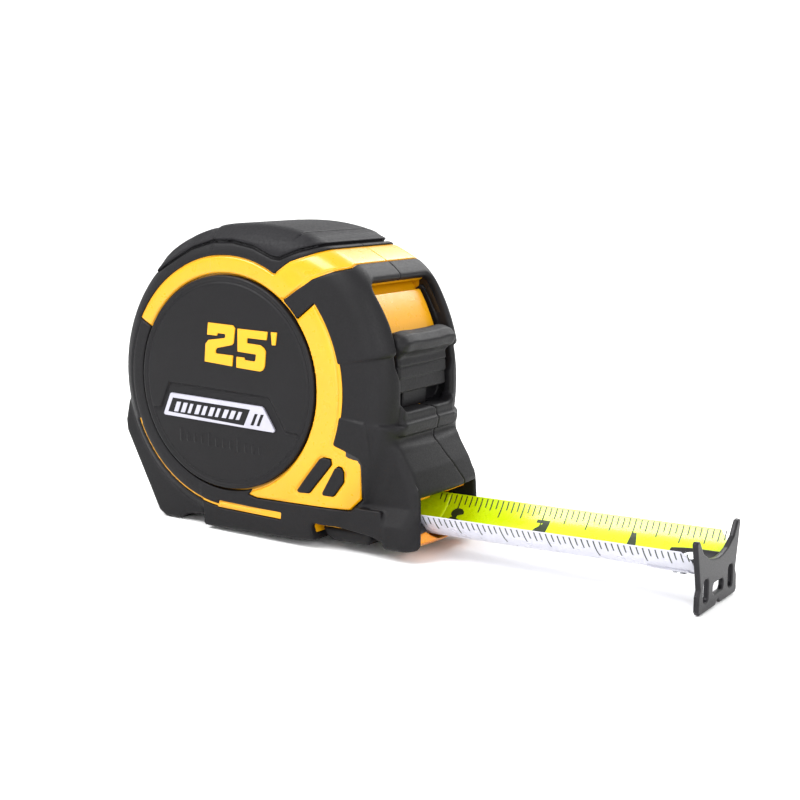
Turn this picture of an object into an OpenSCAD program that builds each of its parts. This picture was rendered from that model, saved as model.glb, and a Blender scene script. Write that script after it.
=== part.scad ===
// Pocket tape measure: locking 25 ft blade, finger brake, sliding hook and belt clip.
// Row frame: +X along the blade, +Y to the left, +Z up, millimetres.
// Every node is drawn about the spindle axis and then moved into the row frame by at_spindle().

/* [Case] */
// Height of the spindle axis above the flat base
spindle_height = 40.3; // [38:0.1:44]
// Outer radius of the rounded rear
rear_radius = 40.2; // [38:0.1:44]
// Outer radius of the rounded front
front_radius = 51; // [49:0.1:55]
// Outer radius of the flatter crown
crown_radius = 61.6; // [58:0.1:70]
// Centre of the crown arc ahead of the spindle
crown_x = 6; // [3:0.5:9]
// Half width of the case over its rubber sides
case_half_width = 21.3; // [20.5:0.1:24]
// Radius of the rounded shoulders
shoulder_radius = 8; // [7:0.5:9]
// Thickness of the rubber on the outer faces
rubber_thickness = 2.2; // [1.8:0.1:2.6]
// Wall thickness of the moulded shells
shell_wall = 2.4; // [2:0.1:2.6]
// Half width of the hollow inside the shells
hollow_half_width = 17.2; // [16.9:0.1:17.6]
// Forward end of the nose, from the spindle axis
nose_front = 57.2; // [56:0.2:60]
// Half width of the nose
nose_half_width = 16; // [15.6:0.1:17]

/* [Blade] */
// Flat width of the blade
blade_width = 31.75; // [31.5:0.05:32]
// Half angle of the blade's curl when it stands out
blade_curl = 59.2; // [50:0.2:62]
// Blade thickness with its coatings
blade_thickness = 0.2; // [0.15:0.01:0.25]
// Height of the blade's edges above the base
blade_edge_height = 9.5; // [9:0.1:12]
// Distance from the spindle axis to the zero of the blade
blade_zero = 129.5; // [110:0.5:150]
// Half width of the channel in the nose
mouth_half_width = 13.9; // [13.8:0.05:14.2]
// Outer radius of the wound blade
coil_radius = 25.6; // [24:0.1:27]

/* [Hook] */
// Thickness of the hook plate
hook_thickness = 1.4; // [1:0.1:1.8]
// Half width over the upper prongs
prong_half_width = 14.7; // [14:0.1:15.6]
// Half width of the lower plate
hook_half_width = 12.7; // [11:0.1:13.4]
// Reach of the hook below the blade's edges
hook_drop = 15.1; // [13:0.1:17]
// Rise of the prongs above the blade's edges
prong_rise = 3.1; // [2:0.1:4]
// Free travel of the hook on its rivets
hook_float = 1.6; // [1.2:0.1:2]
// Shank radius of the hook's rivets
rivet_radius = 1.25; // [1:0.05:1.5]

/* [Spindle] */
// Radius of the fixed spindle
spindle_radius = 3; // [2.5:0.1:4]
// Running clearance between reel and spindle
reel_clearance = 0.06; // [0.02:0.01:0.1]
// Inner radius of the reel drum
drum_inner = 16.6; // [15:0.1:17.5]
// Outer radius of the reel drum
drum_outer = 18; // [16.8:0.1:19]
// Number of turns of the mainspring
spring_turns = 9; // [6:1:11]
// Thickness of the mainspring strip
spring_strip = 0.3; // [0.2:0.05:0.4]

/* [Side disc] */
// Radius of the round side discs
disc_radius = 28.8; // [26:0.1:29.5]
// Half width of the case over the side discs
disc_half_width = 22; // [21.4:0.1:25]
// Gap round each side disc
disc_gap = 0.5; // [0.3:0.1:0.8]

/* [Lock] */
// Inner radius of the sliding lock
lock_inner = 44.5; // [44.4:0.1:44.8]
// Outer radius of the lock's visible slide
lock_outer = 47; // [46.6:0.1:47.4]
// Half width of the lock's visible slide
lock_half_width = 14.1; // [12:0.1:14.2]
// Half width of the opening in the case for the lock
window_half_width = 14.5; // [14.3:0.1:15]
// Radial reach of the thumb ledge from the spindle axis
ledge_radius = 52.4; // [51.5:0.1:54]
// Travel of the lock in degrees
lock_travel = 4.5; // [3:0.1:4.8]

/* [Brake] */
// Distance from the spindle axis to the brake pivot
brake_pivot_x = 24; // [23:0.2:25]
// Radius of the brake pin
brake_pin_radius = 0.9; // [0.8:0.05:1.1]
// Running clearance of the brake lever on its pin
brake_clearance = 0.05; // [0.02:0.01:0.1]
// Half width of the brake lever and its pad
brake_half_width = 17; // [15:0.1:18]

/* [Fasteners and clip] */
// Shank radius of the case screws
screw_radius = 1.3; // [1.1:0.05:1.5]
// Head radius of the case screws
screw_head_radius = 2.6; // [2.3:0.1:3]
// Thickness of the belt clip's spring steel
clip_thickness = 1.1; // [0.8:0.1:1.4]
// Width of the belt clip
clip_width = 20; // [16:1:24]
// Clear gap between the belt clip and the side disc
clip_gap = 5.4; // [5:0.1:7]

/* [Hidden] */
$fn = 96;
trim_depth = 0.5;
outer_shell = case_half_width - rubber_thickness + 0.2;
base_z = -spindle_height;
edge_z = base_z + blade_edge_height;
curl_radius = blade_width * 90 / (PI * blade_curl);
curl_z = edge_z + curl_radius * cos(blade_curl);
hook_bottom = edge_z - hook_drop;
hook_front = blade_zero + hook_thickness;
clip_y = disc_half_width + clip_gap;
screw_spots = [[-22.2, 22.2], [-22.2, -22.2], [26.6, 27.2], [31.5, -15.5]];

module at_spindle() {
  translate([0, 0, spindle_height]) children();
}

module side(y0, y1) {
  translate([0, y1, 0]) rotate([90, 0, 0]) linear_extrude(y1 - y0) children();
}

module along(x0, x1) {
  translate([x0, 0, 0]) rotate([90, 0, 90]) linear_extrude(x1 - x0) children();
}

module block(x0, x1, y0, y1, z0, z1) {
  translate([x0, y0, z0]) cube([x1 - x0, y1 - y0, z1 - z0]);
}

module bar_y(r, y0, y1, x, z) {
  translate([x, y1, z]) rotate([90, 0, 0]) cylinder(r = r, h = y1 - y0);
}

module fan(r, a0, a1) {
  n = ceil((a1 - a0) / 30);
  s = (a1 - a0) / n;
  polygon(concat([[0, 0]], [for (k = [0:n]) r / cos(s / 2) * [cos(a0 + k * s), sin(a0 + k * s)]]));
}

module ring(r0, r1, a0, a1) {
  intersection() {
    difference() {
      circle(r1);
      circle(r0);
    }
    fan(r1 * 1.3, a0, a1);
  }
}

module rounded_disc(r, hw, c) {
  rotate([90, 0, 0]) rotate_extrude() {
    translate([0, -hw]) square([r - c, 2 * hw]);
    translate([0, -hw + c]) square([r, 2 * hw - 2 * c]);
    for (s = [-1, 1]) translate([r - c, s * (hw - c)]) circle(c);
  }
}

module body(inset, hw) {
  c = max(shoulder_radius - inset, 1.5);
  intersection() {
    union() {
      translate([1, 0, 0.6]) rounded_disc(rear_radius - inset, hw, c);
      intersection() {
        translate([crown_x, 0, 41.4 - crown_radius]) rounded_disc(crown_radius - inset, hw, c);
        rounded_disc(front_radius - inset, hw, c);
        side(-hw - 1, hw + 1) polygon([[-2, 60], [70, 60], [70, -60], [-9, -60], [-9, 0], [-2, 10]]);
      }
    }
    block(-60, 80, -hw - 1, hw + 1, base_z + inset, 60);
  }
}

module crescent() {
  ring(disc_radius + disc_gap, 34, 60, 152);
}

module front_arc() {
  ring(disc_radius + disc_gap, 37, -24, 38);
  ring(disc_radius + disc_gap, disc_radius + disc_gap + 0.6, 36, 62);
}

module band() {
  polygon([[14.2, 26], [16.8, 30.3], [21, 33], [26, 34.8], [33, 37.2], [33, 50], [39, 50], [39, 32.2],
      [34, 31], [28, 28.8], [19.6, 23.4], [18, 23.6]]);
}

module flag_slots() {
  polygon([[23, -26.6], [23.6, -27.3], [26.3, -27.3], [27.2, -26.8], [34.2, -18.6], [34, -17.2], [31.2, -17],
      [30.4, -17.5]]);
  polygon([[30.8, -26.6], [31.4, -27.3], [34, -27.3], [35, -26.7], [38, -22.8], [38, -20.2], [37.3, -19.1],
      [35.8, -18.9], [35, -19.4]]);
}

module flag() {
  difference() {
    polygon([[34, -13.5], [42.4, -16.3], [43.5, -17.8], [43.5, -27], [39.8, -30.3], [9.4, -30.3], [6.6, -29.6],
        [12, -24], [20, -16], [26, -8]]);
    flag_slots();
    circle(disc_radius + disc_gap);
  }
}

module pinstripe() {
  ring(33.6, 34.3, 201, 268);
  polygon([[-4, -34.4], [-3.4, -32.4], [17.3, -33.5], [17.1, -35.2]]);
}

module window_shape() {
  crescent();
  front_arc();
  band();
  flag();
  pinstripe();
}

module nose_profile(grow) {
  polygon([[38, -13 + grow], [50 + grow, -15 + grow], [54 + grow, -20.6 + grow], [56 + grow, -24 + grow],
      [nose_front - 1.6 + grow, -26], [nose_front - 1.6 + grow, base_z + 1.6 - grow],
      [44.8 - grow, base_z + 1.6 - grow], [44.8 - grow, -33.2], [38, -33.2]]);
}

module blade_profile(half_angle, thick) {
  r = blade_width * 90 / (PI * half_angle);
  translate([0, r]) ring(r - thick / 2, r + thick / 2, 270 - half_angle, 270 + half_angle);
}

module mouth_room() {
  block(34, 70, -mouth_half_width, mouth_half_width, edge_z - 2, edge_z + 4.6);
  along(30.8, 70) intersection() {
    translate([0, curl_z]) circle(curl_radius + 1.1);
    translate([-mouth_half_width, -45]) square([2 * mouth_half_width, 45 + edge_z - 1]);
  }
}

module lock_room() {
  side(-window_half_width, window_half_width) ring(44.3, 62, -6, 34.6);
}

module brake_room() {
  block(26.8, 44.8, -25, 25, base_z - 1, -33.2);
  block(28, 44.8, -brake_half_width - 0.15, brake_half_width + 0.15, base_z - 1, -31.9);
  for (s = [-1, 1]) block(29, 41.2, s * 16.55 - 0.65, s * 16.55 + 0.65, -33.6, -29);
}

module half_shell() {
  difference() {
    intersection() {
      difference() {
        union() {
          body(rubber_thickness, outer_shell);
          intersection() {
            body(trim_depth, case_half_width - trim_depth);
            side(-30, 30) window_shape();
          }
          side(-mouth_half_width - 0.9, mouth_half_width + 0.9) nose_profile(0);
        }
        difference() {
          body(rubber_thickness + shell_wall, hollow_half_width);
          side(-16.5, 16.5) ring(42.2, 60, -8, 39);
        }
      }
      block(-60, 80, -30, 0, -60, 60);
    }
    side(-15.2, 0) ring(lock_inner - 0.2, 46.4, -40, 39);
    side(-15.2, 0) ring(lock_inner - 0.2, lock_outer + 0.3, 30, 39);
    lock_room();
    mouth_room();
    brake_room();
    block(50, 60, -mouth_half_width, mouth_half_width, base_z - 1, -36);
    bar_y(spindle_radius, -18.6, 0, 0, 0);
    bar_y(brake_pin_radius, -16.6, 0, brake_pivot_x, -33.9);
  }
  difference() {
    union() {
      for (p = screw_spots) bar_y(3, -hollow_half_width, 0, p[0], p[1]);
      bar_y(5.5, -hollow_half_width, -16.6, 0, 0);
    }
    for (p = screw_spots) bar_y(screw_radius, -14, 1, p[0], p[1]);
    bar_y(spindle_radius, -18.6, 0, 0, 0);
  }
  difference() {
    block(22.2, 25.8, -hollow_half_width, -14.6, -35.7, -32.2);
    bar_y(brake_pin_radius, -16.6, 0, brake_pivot_x, -33.9);
  }
  block(24.5, 28, -hollow_half_width, -16, -29.2, -27.4);
}

module right_shell() {
  color("#f5c400") at_spindle() half_shell();
}

module left_shell() {
  color("#f5c400") at_spindle() difference() {
    mirror([0, 1, 0]) half_shell();
    for (p = screw_spots) {
      bar_y(screw_radius + 0.15, -1, 30, p[0], p[1]);
      bar_y(screw_head_radius + 0.2, 17.4, 30, p[0], p[1]);
    }
    bar_y(1.4, 15, 30, 0, 0);
    bar_y(2.4, 16, 30, 13, 10);
    side(7.8, 13.2) ring(42.9, 44.5, 5, 25);
  }
}

module half_jacket() {
  difference() {
    intersection() {
      union() {
        body(0, case_half_width);
        side(-nose_half_width, nose_half_width) nose_profile(1.6);
        side(-18, 18) rear_foot();
        side(-16.6, 16.6) ring(49, 52.3, -13, -8.6);
      }
      block(-60, 80, -30, 0, -60, 60);
    }
    body(rubber_thickness, outer_shell);
    side(-mouth_half_width - 0.9, mouth_half_width + 0.9) nose_profile(0);
    side(-30, 30) window_shape();
    bar_y(disc_radius + disc_gap, -30, -outer_shell, 0, 0);
    lock_room();
    brake_room();
    mouth_room();
    block(50, 60, -mouth_half_width, mouth_half_width, base_z - 1, edge_z + 4.6);
    side(-30, 30) flag_slots();
  }
}

module rear_foot() {
  polygon([[-30, -2], [-38.6, -8], [-39.6, -14], [-39.2, -17], [-27.6, -38.6], [-26.2, base_z], [-19.6, base_z],
      [-17.4, -38.8], [-12, -38.2], [-12, -30]]);
}

module right_jacket() {
  color("#2d2b32") at_spindle() {
    half_jacket();
    intersection() {
      body(0, case_half_width - 0.3);
      side(-30, -outer_shell - 0.1) flag_slots();
    }
  }
}

module left_jacket() {
  color("#2d2b32") at_spindle() difference() {
    mirror([0, 1, 0]) half_jacket();
    for (p = screw_spots) bar_y(screw_head_radius + 0.3, 15, 30, p[0], p[1]);
  }
}

module pad_outline() {
  polygon([[-27, 27.5], [-23, 29.6], [-18.5, 32], [-12, 35.4], [-5, 37.4], [2, 37.6], [9, 36.4], [15.5, 33.8],
      [17.6, 33.6], [23, 35.8], [31, 38], [32.6, 38.2], [32.6, 60], [-27, 60]]);
}

module top_grip_pad() {
  color("#34323a") at_spindle() intersection() {
    difference() {
      body(-1, case_half_width + 0.4);
      body(0, case_half_width);
      for (x = [-4, 6, 16]) side(-10, 10) translate([x, 45.3]) circle(3.5);
    }
    side(-30, 30) pad_outline();
  }
}

module disc_body() {
  side(-disc_half_width, -outer_shell) circle(disc_radius);
}

module plate_outline() {
  polygon([[-21.3, -9.8], [-18.8, -4.2], [12.8, -5.4], [16.6, -11.4], [16, -12]]);
}

module right_side_disc() {
  color("#232126") at_spindle() difference() {
    disc_body();
    side(-30, -disc_half_width + 0.5) difference() {
      circle(disc_radius - 1.3);
      circle(disc_radius - 1.9);
    }
    side(-30, -disc_half_width + 0.4) plate_outline();
    side(-30, -disc_half_width + 0.4) length_figures();
    for (k = [0:11]) side(-30, -disc_half_width + 0.4)
      translate([-17.5 + k * 2.6, -19 + (k % 4 == 0 ? -0.8 : 0)]) square([0.8, k % 4 == 0 ? 4.6 : 3]);
  }
}

module left_side_disc() {
  color("#232126") at_spindle() difference() {
    mirror([0, 1, 0]) disc_body();
    side(disc_half_width - 0.5, 30) difference() {
      circle(disc_radius - 1.3);
      circle(disc_radius - 1.9);
    }
    side(disc_half_width - 0.4, 30) translate([0, -9]) mirror([1, 0]) plate_outline();
    bar_y(2.4, 15, 30, 13, 10);
  }
}

module right_nameplate() {
  color("#c9c8d2") at_spindle() difference() {
    side(-disc_half_width - 0.3, -disc_half_width + 0.4) plate_outline();
    for (k = [0:7]) side(-30, -disc_half_width - 0.1)
      translate([-17 + k * 3.6, -9.6]) multmatrix([[1, 0.4, 0, 0], [0, 1, 0, 0], [0, 0, 1, 0]])
        square([2.2, 3]);
  }
}

module left_nameplate() {
  color("#c9c8d2") at_spindle() difference() {
    side(disc_half_width - 0.4, disc_half_width + 0.3) translate([0, -9]) mirror([1, 0]) plate_outline();
    for (k = [0:7]) side(disc_half_width + 0.1, 30)
      translate([-14 + k * 3.6, -18.6]) square([2.2, 3]);
  }
}

module length_figures() {
  // the figure 2
  polygon([[-5.2, 16], [3.4, 15.6], [3.9, 15], [3.2, 10.6], [-2.6, 9.2], [-2.8, 7.8], [3.1, 7.6], [2.7, 4.7],
      [-6.6, 5.4], [-6.2, 10.2], [-5.2, 11.3], [0.4, 12.1], [0.5, 13.2], [-2, 13.3], [-2.2, 12.6],
      [-5.4, 12.7]]);
  // the figure 5
  polygon([[4.7, 14.9], [14.6, 14.6], [14.2, 12.4], [7.9, 12.6], [7.8, 11.2], [12.4, 10.9], [13.9, 9.4],
      [13.4, 5.2], [11.9, 4], [4.1, 4.5], [4.2, 7.4], [6.8, 7.3], [7, 6.7], [10.4, 6.5], [10.7, 8.4],
      [4.6, 8.8]]);
  // the foot mark
  polygon([[15.6, 14.6], [17.6, 14.6], [17.1, 11.2], [15.9, 11.2]]);
}

module length_mark() {
  color("#ffcd00") at_spindle() side(-disc_half_width - 0.2, -disc_half_width + 0.4) length_figures();
}

module spindle() {
  color("#b8bac0") at_spindle() difference() {
    bar_y(spindle_radius, -18.6, 18.6, 0, 0);
    block(-0.25, 0.25, -12, 12, -1, 4);
    bar_y(1.2, 8, 19, 0, 0);
  }
}

module spindle_screw() {
  color("#8d9096") at_spindle() {
    bar_y(1.2, 8.2, 18.8, 0, 0);
    bar_y(1.35, 18.6, outer_shell, 0, 0);
  }
}

module reel() {
  color("#e9e9ec") at_spindle() difference() {
    union() {
      bar_y(drum_outer, -16, 16, 0, 0);
    }
    bar_y(drum_inner, -17, 13.4, 0, 0);
    bar_y(spindle_radius + reel_clearance, -17, 17, 0, 0);
    for (a = [0:60:300]) bar_y(3, 13, 17, 11 * cos(a), 11 * sin(a));
  }
}

module mainspring() {
  pitch = (drum_inner - 0.6 - spindle_radius - 0.6) / spring_turns;
  color("#5f6670") at_spindle() {
    side(-11.5, 11.5) polygon(concat(
      [for (k = [0:30 * spring_turns]) (spindle_radius + 0.6 + k * pitch / 30) * [cos(12 * k), sin(12 * k)]],
      [for (k = [30 * spring_turns:-1:0]) (spindle_radius + 0.6 + spring_strip + k * pitch / 30)
        * [cos(12 * k), sin(12 * k)]]));
  }
}

module friction_disc() {
  side(-hollow_half_width + 0.15, -16.25) difference() {
    circle(27);
    circle(5.8);
    for (a = [45:90:315]) translate([18 * cos(a), 18 * sin(a)]) circle(3);
  }
}

module right_friction_disc() {
  color("#d8d8dc") at_spindle() friction_disc();
}

module left_friction_disc() {
  color("#d8d8dc") at_spindle() mirror([0, 1, 0]) friction_disc();
}

module blade_coil() {
  color("#d9e600") at_spindle() difference() {
    side(-blade_width / 2, blade_width / 2) difference() {
      circle(coil_radius);
      circle(drum_outer);
    }
    for (r = [18.9:0.95:25]) for (y = [-blade_width / 2 - 1, blade_width / 2 - 0.4]) side(y, y + 1.4)
      difference() {
        circle(r + 0.2);
        circle(r);
      }
  }
}

// stations of the blade from the coil to the mouth: distance, half curl, height of the edges
stations = [[0.5, 3, -25.85], [8, 7, -26.3], [16, 14, -27], [24, 25, -28], [29.5, 38, -29.1], [35, 53, -30.2],
    [46, 57, -30.6], [52, blade_curl, edge_z]];
strips = 20;

function section_point(s, j, off) =
  let (r = blade_width * 90 / (PI * s[1]), a = -s[1] + 2 * s[1] * j / strips, q = r + off)
  [s[0], q * sin(a), s[2] + r * cos(s[1]) - q * cos(a)];

module blade_run_in() {
  ns = len(stations) - 1;
  w = strips + 1;
  top = [for (i = [0:ns]) for (j = [0:strips]) section_point(stations[i], j, -blade_thickness / 2)];
  low = [for (i = [0:ns]) for (j = [0:strips]) section_point(stations[i], j, blade_thickness / 2)];
  n = len(top);
  upper = [for (i = [0:ns - 1]) for (j = [0:strips - 1]) each
    [[i * w + j, i * w + j + 1, (i + 1) * w + j + 1], [i * w + j, (i + 1) * w + j + 1, (i + 1) * w + j]]];
  under = [for (f = upper) [n + f[2], n + f[1], n + f[0]]];
  ends = [for (j = [0:strips - 1]) each
    [[j + 1, j, n + j], [j + 1, n + j, n + j + 1],
      [ns * w + j, ns * w + j + 1, n + ns * w + j + 1], [ns * w + j, n + ns * w + j + 1, n + ns * w + j]]];
  edges = [for (i = [0:ns - 1]) each
    [[i * w, (i + 1) * w, n + (i + 1) * w], [i * w, n + (i + 1) * w, n + i * w],
      [(i + 1) * w + strips, i * w + strips, n + i * w + strips],
      [(i + 1) * w + strips, n + i * w + strips, n + (i + 1) * w + strips]]];
  polyhedron(points = concat(top, low), faces = concat(upper, under, ends, edges));
}

module blade_strip() {
  color("#e1ff00") at_spindle() {
    blade_run_in();
    translate([0, 0, curl_z - curl_radius]) difference() {
      along(52.02, blade_zero - 1) blade_profile(blade_curl, blade_thickness);
      for (s = [-1, 1]) translate([blade_zero - 1, s * blade_width / 2 * 0.9, 5]) rotate([0, 0, 45])
        cube([3, 3, 12], center = true);
      translate([0, 0, curl_radius - curl_z]) rivet_spots() translate([0, 0, -3])
        cylinder(r = rivet_radius + 0.03, h = 6);
    }
  }
}

module rivet_spots() {
  for (p = [[blade_zero - 7, -3.4], [blade_zero - 7, 3.4], [blade_zero - 11.5, 0]])
    translate([p[0], 0, curl_z]) rotate([asin(p[1] / curl_radius), 0, 0]) translate([0, 0, -curl_radius])
      children();
}

module blade_end_plate() {
  color("#9a9ca1") at_spindle() difference() {
    translate([0, 0, curl_z - curl_radius]) along(blade_zero - 14, blade_zero - 3.4)
      translate([0, curl_radius]) ring(curl_radius + 0.12, curl_radius + 0.42, 242, 298);
    rivet_spots() translate([0, 0, -3]) cylinder(r = rivet_radius, h = 6);
  }
}

module hook_rivets() {
  color("#b9bbc0") at_spindle() rivet_spots() {
    translate([0, 0, -0.6]) cylinder(r = rivet_radius, h = 2.5);
    translate([0, 0, -0.74]) cylinder(r = 1.7, h = 0.3);
    translate([0, 0, 1.68]) cylinder(r = 2, h = 0.5);
  }
}

module hook_profile() {
  t = edge_z + prong_rise;
  b = hook_bottom;
  difference() {
    polygon([[-prong_half_width, t - 0.3], [-prong_half_width + 0.6, t], [-prong_half_width + 2.2, t - 0.2],
        [-9.9, t - 3.6], [-6, t - 5.6], [0, t - 6.6], [6, t - 5.6], [9.9, t - 3.6],
        [prong_half_width - 2.2, t - 0.2], [prong_half_width - 0.6, t], [prong_half_width, t - 0.3],
        [hook_half_width - 0.4, t - 9.6], [hook_half_width - 0.8, t - 12.4], [hook_half_width, t - 13.6],
        [hook_half_width, b + 0.9], [hook_half_width - 0.8, b], [1.6, b], [0, b + 1.3], [-1.6, b],
        [-hook_half_width + 0.8, b], [-hook_half_width, b + 0.9], [-hook_half_width, t - 13.6],
        [-hook_half_width + 0.8, t - 12.4], [-hook_half_width + 0.4, t - 9.6]]);
    for (s = [-1, 1]) translate([s * 8.1 - 1.6, b + 2.5]) square([3.2, 5.4]);
    translate([-2, b + 3.1]) square([4, 2.8]);
    for (s = [-1, 1]) translate([s * 2, b + 4.5]) circle(1.4);
  }
}

module end_hook() {
  color("#464141") at_spindle() difference() {
    union() {
      along(blade_zero, hook_front) hook_profile();
      translate([0, 0, curl_z - curl_radius]) along(blade_zero - 13.6, blade_zero + 0.1)
        translate([0, curl_radius]) ring(curl_radius - 1.44, curl_radius - 0.24, 238, 302);
    }
    rivet_spots() translate([0, 0, -1]) {
      for (x = [-hook_float / 2, hook_float / 2]) translate([x, 0, 0])
        cylinder(r = rivet_radius + 0.12, h = 4);
      translate([-hook_float / 2, -rivet_radius - 0.12, 0]) cube([hook_float, 2 * rivet_radius + 0.24, 4]);
    }
  }
}

module lock_slide() {
  color("#f7c600") at_spindle() {
    side(-lock_half_width + 0.4, lock_half_width - 0.4) ring(lock_inner, lock_outer, 3, 36);
    side(-6, 6) ring(lock_inner, lock_inner + 1.6, -33, 4);
    side(-5, 5) ring(40.6, lock_inner + 1.6, -35.2, -31.6);
  }
}

module thumb_pad() {
  color("#302e35") at_spindle() difference() {
    union() {
      side(-lock_half_width, lock_half_width) ring(lock_outer, 48.8, -0.2, 18.4);
      side(-lock_half_width, lock_half_width) ring(48, ledge_radius, 12.4, 18.4);
      side(-lock_half_width, lock_half_width) ring(48, 50, 8.4, 13);
    }
    for (a = [2, 4.6, 7.2]) side(-30, 30) rotate(a) translate([49, 0]) circle(0.55);
  }
}

module lock_shoe() {
  color("#3a3a3e") at_spindle() side(-4, 4)
    polygon([[33.335, -23.518], [36.68, -25.875], [35.6, -28.4], [34.2, -29], [33.2, -28.4]]);
}

module lock_detent_spring() {
  color("#8f949b") at_spindle() side(8, 13) {
    ring(43.1, 43.4, 6, 24);
    rotate(15) translate([43.6, 0]) circle(0.7);
  }
}

module brake_saddle() {
  translate([27.3, 0, -20.8]) rotate([0, 90, 0]) cylinder(r = 18.1, h = 30);
}

module brake_lever() {
  color("#f5c400") at_spindle() difference() {
    union() {
      block(27.6, 42.9, -brake_half_width, brake_half_width, -36.4, -33.6);
      block(brake_pivot_x, 28, -14.2, 14.2, -35.4, -34.4);
      bar_y(1.5, -14.2, 14.2, brake_pivot_x, -33.9);
    }
    bar_y(brake_pin_radius + brake_clearance, -20, 20, brake_pivot_x, -33.9);
    brake_saddle();
  }
}

module brake_pad() {
  color("#2b2930") at_spindle() difference() {
    side(-brake_half_width, brake_half_width) difference() {
      polygon([[27.6, -36.4], [42.9, -36.4], [42.9, base_z + 1.2], [41.8, base_z + 0.1], [30.2, base_z + 0.1],
          [28.4, -39]]);
      for (x = [31.6:2.3:41]) translate([x, base_z + 0.1]) circle(0.45);
    }
    brake_saddle();
  }
}

module brake_pin() {
  color("#b4b7bd") at_spindle() bar_y(brake_pin_radius, -16.6, 16.6, brake_pivot_x, -33.9);
}

module brake_springs() {
  color("#9aa0a8") at_spindle() for (s = [-1, 1]) side(s * 16.55 - 0.5, s * 16.55 + 0.5)
    polygon([[24.6, -29.2], [31, -29.2], [38.4, -33.2], [40, -33.24], [40, -33.54], [38.2, -33.52],
        [30.8, -29.5], [24.6, -29.5]]);
}

module mouth_bumper() {
  color("#f0a500") at_spindle() difference() {
    block(50, nose_front, -mouth_half_width + 0.1, mouth_half_width - 0.1, base_z + 0.5, -36);
    along(49, 60) translate([0, curl_z]) circle(curl_radius + 1);
    for (y = [-9, 9]) translate([nose_front, y, -42]) cylinder(r = 1, h = 5);
  }
}

module blade_guide() {
  color("#e8b400") at_spindle() difference() {
    side(-mouth_half_width, mouth_half_width)
      polygon([[47.4, edge_z + 4.6], [47.4, edge_z + 2.6], [49, edge_z + 1.6], [53.6, edge_z + 2.6],
          [54, edge_z + 4.6]]);
    block(46, 56, -4, 4, edge_z, edge_z + 3.4);
  }
}

module case_screws() {
  color("#7d8086") at_spindle() for (p = screw_spots) difference() {
    union() {
      bar_y(screw_radius, -12, 17.6, p[0], p[1]);
      bar_y(screw_head_radius, 17.4, 19.2, p[0], p[1]);
    }
    translate([p[0], 19.3, p[1]]) cube([3.6, 1.8, 0.7], center = true);
    translate([p[0], 19.3, p[1]]) cube([0.7, 1.8, 3.6], center = true);
  }
}

module belt_clip() {
  y0 = disc_half_width;
  color("#a6a9af") at_spindle() difference() {
    translate([13 - clip_width / 2, 0, 0]) rotate([90, 0, 90]) linear_extrude(clip_width)
      polygon([[y0, 19], [y0 + clip_thickness, 20], [clip_y, 21.2], [clip_y + clip_thickness, 20.4],
          [clip_y + clip_thickness, -18], [clip_y, -21], [clip_y + 2, -26], [clip_y + 1, -26.4],
          [clip_y - clip_thickness, -21], [clip_y, -17.6], [clip_y, 18.6], [y0 + clip_thickness, 17.4],
          [y0 + clip_thickness, 3], [y0, 3]]);
    bar_y(1.7, 15, 24, 13, 10);
    bar_y(3.6, 24, 40, 13, 10);
  }
}

module belt_clip_screw() {
  color("#85888e") at_spindle() difference() {
    union() {
      bar_y(1.5, 17.6, disc_half_width + clip_thickness, 13, 10);
      bar_y(3, disc_half_width + clip_thickness, disc_half_width + clip_thickness + 1.6, 13, 10);
    }
    translate([13, disc_half_width + clip_thickness + 1.6, 10]) cube([4, 1.4, 0.7], center = true);
    translate([13, disc_half_width + clip_thickness + 1.6, 10]) cube([0.7, 1.4, 4], center = true);
  }
}

module clip_insert() {
  color("#c9a24a") at_spindle() difference() {
    bar_y(2.4, hollow_half_width, disc_half_width, 13, 10);
    bar_y(1.5, 15, 30, 13, 10);
  }
}

right_shell();
left_shell();
right_jacket();
left_jacket();
top_grip_pad();
right_side_disc();
left_side_disc();
right_nameplate();
left_nameplate();
length_mark();
spindle();
spindle_screw();
reel();
mainspring();
right_friction_disc();
left_friction_disc();
blade_coil();
blade_strip();
blade_end_plate();
hook_rivets();
end_hook();
lock_slide();
thumb_pad();
lock_shoe();
lock_detent_spring();
brake_lever();
brake_pad();
brake_pin();
brake_springs();
mouth_bumper();
blade_guide();
case_screws();
belt_clip();
belt_clip_screw();
clip_insert();
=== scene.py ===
"""Pocket tape measure: 25 ft blade, sliding lock, finger brake and belt clip."""
import math

import bmesh
import bpy
import numpy as np
from bpy.props import FloatProperty, FloatVectorProperty, IntProperty, PointerProperty
from mathutils import Matrix, Vector


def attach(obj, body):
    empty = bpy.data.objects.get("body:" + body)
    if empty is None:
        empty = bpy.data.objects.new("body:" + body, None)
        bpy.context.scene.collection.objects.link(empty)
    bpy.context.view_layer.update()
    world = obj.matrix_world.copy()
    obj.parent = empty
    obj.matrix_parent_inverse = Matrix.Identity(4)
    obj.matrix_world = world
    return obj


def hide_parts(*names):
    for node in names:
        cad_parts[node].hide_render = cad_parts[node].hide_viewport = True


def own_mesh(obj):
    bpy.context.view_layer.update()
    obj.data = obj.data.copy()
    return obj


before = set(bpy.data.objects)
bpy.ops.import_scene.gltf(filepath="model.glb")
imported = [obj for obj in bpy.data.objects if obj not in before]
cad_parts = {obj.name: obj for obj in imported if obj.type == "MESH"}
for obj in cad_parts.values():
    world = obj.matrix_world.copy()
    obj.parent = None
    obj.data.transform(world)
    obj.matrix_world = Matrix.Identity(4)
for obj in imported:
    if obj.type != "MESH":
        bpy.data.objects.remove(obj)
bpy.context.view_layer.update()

bl_info = {
    "name": "Pocket Tape Measure",
    "version": (1, 0, 0),
    "blender": (4, 5, 0),
    "location": "View3D > Sidebar > Tape Measure",
    "description": "Builds a locking pocket tape measure round its working frame",
    "category": "Object",
}

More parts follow.
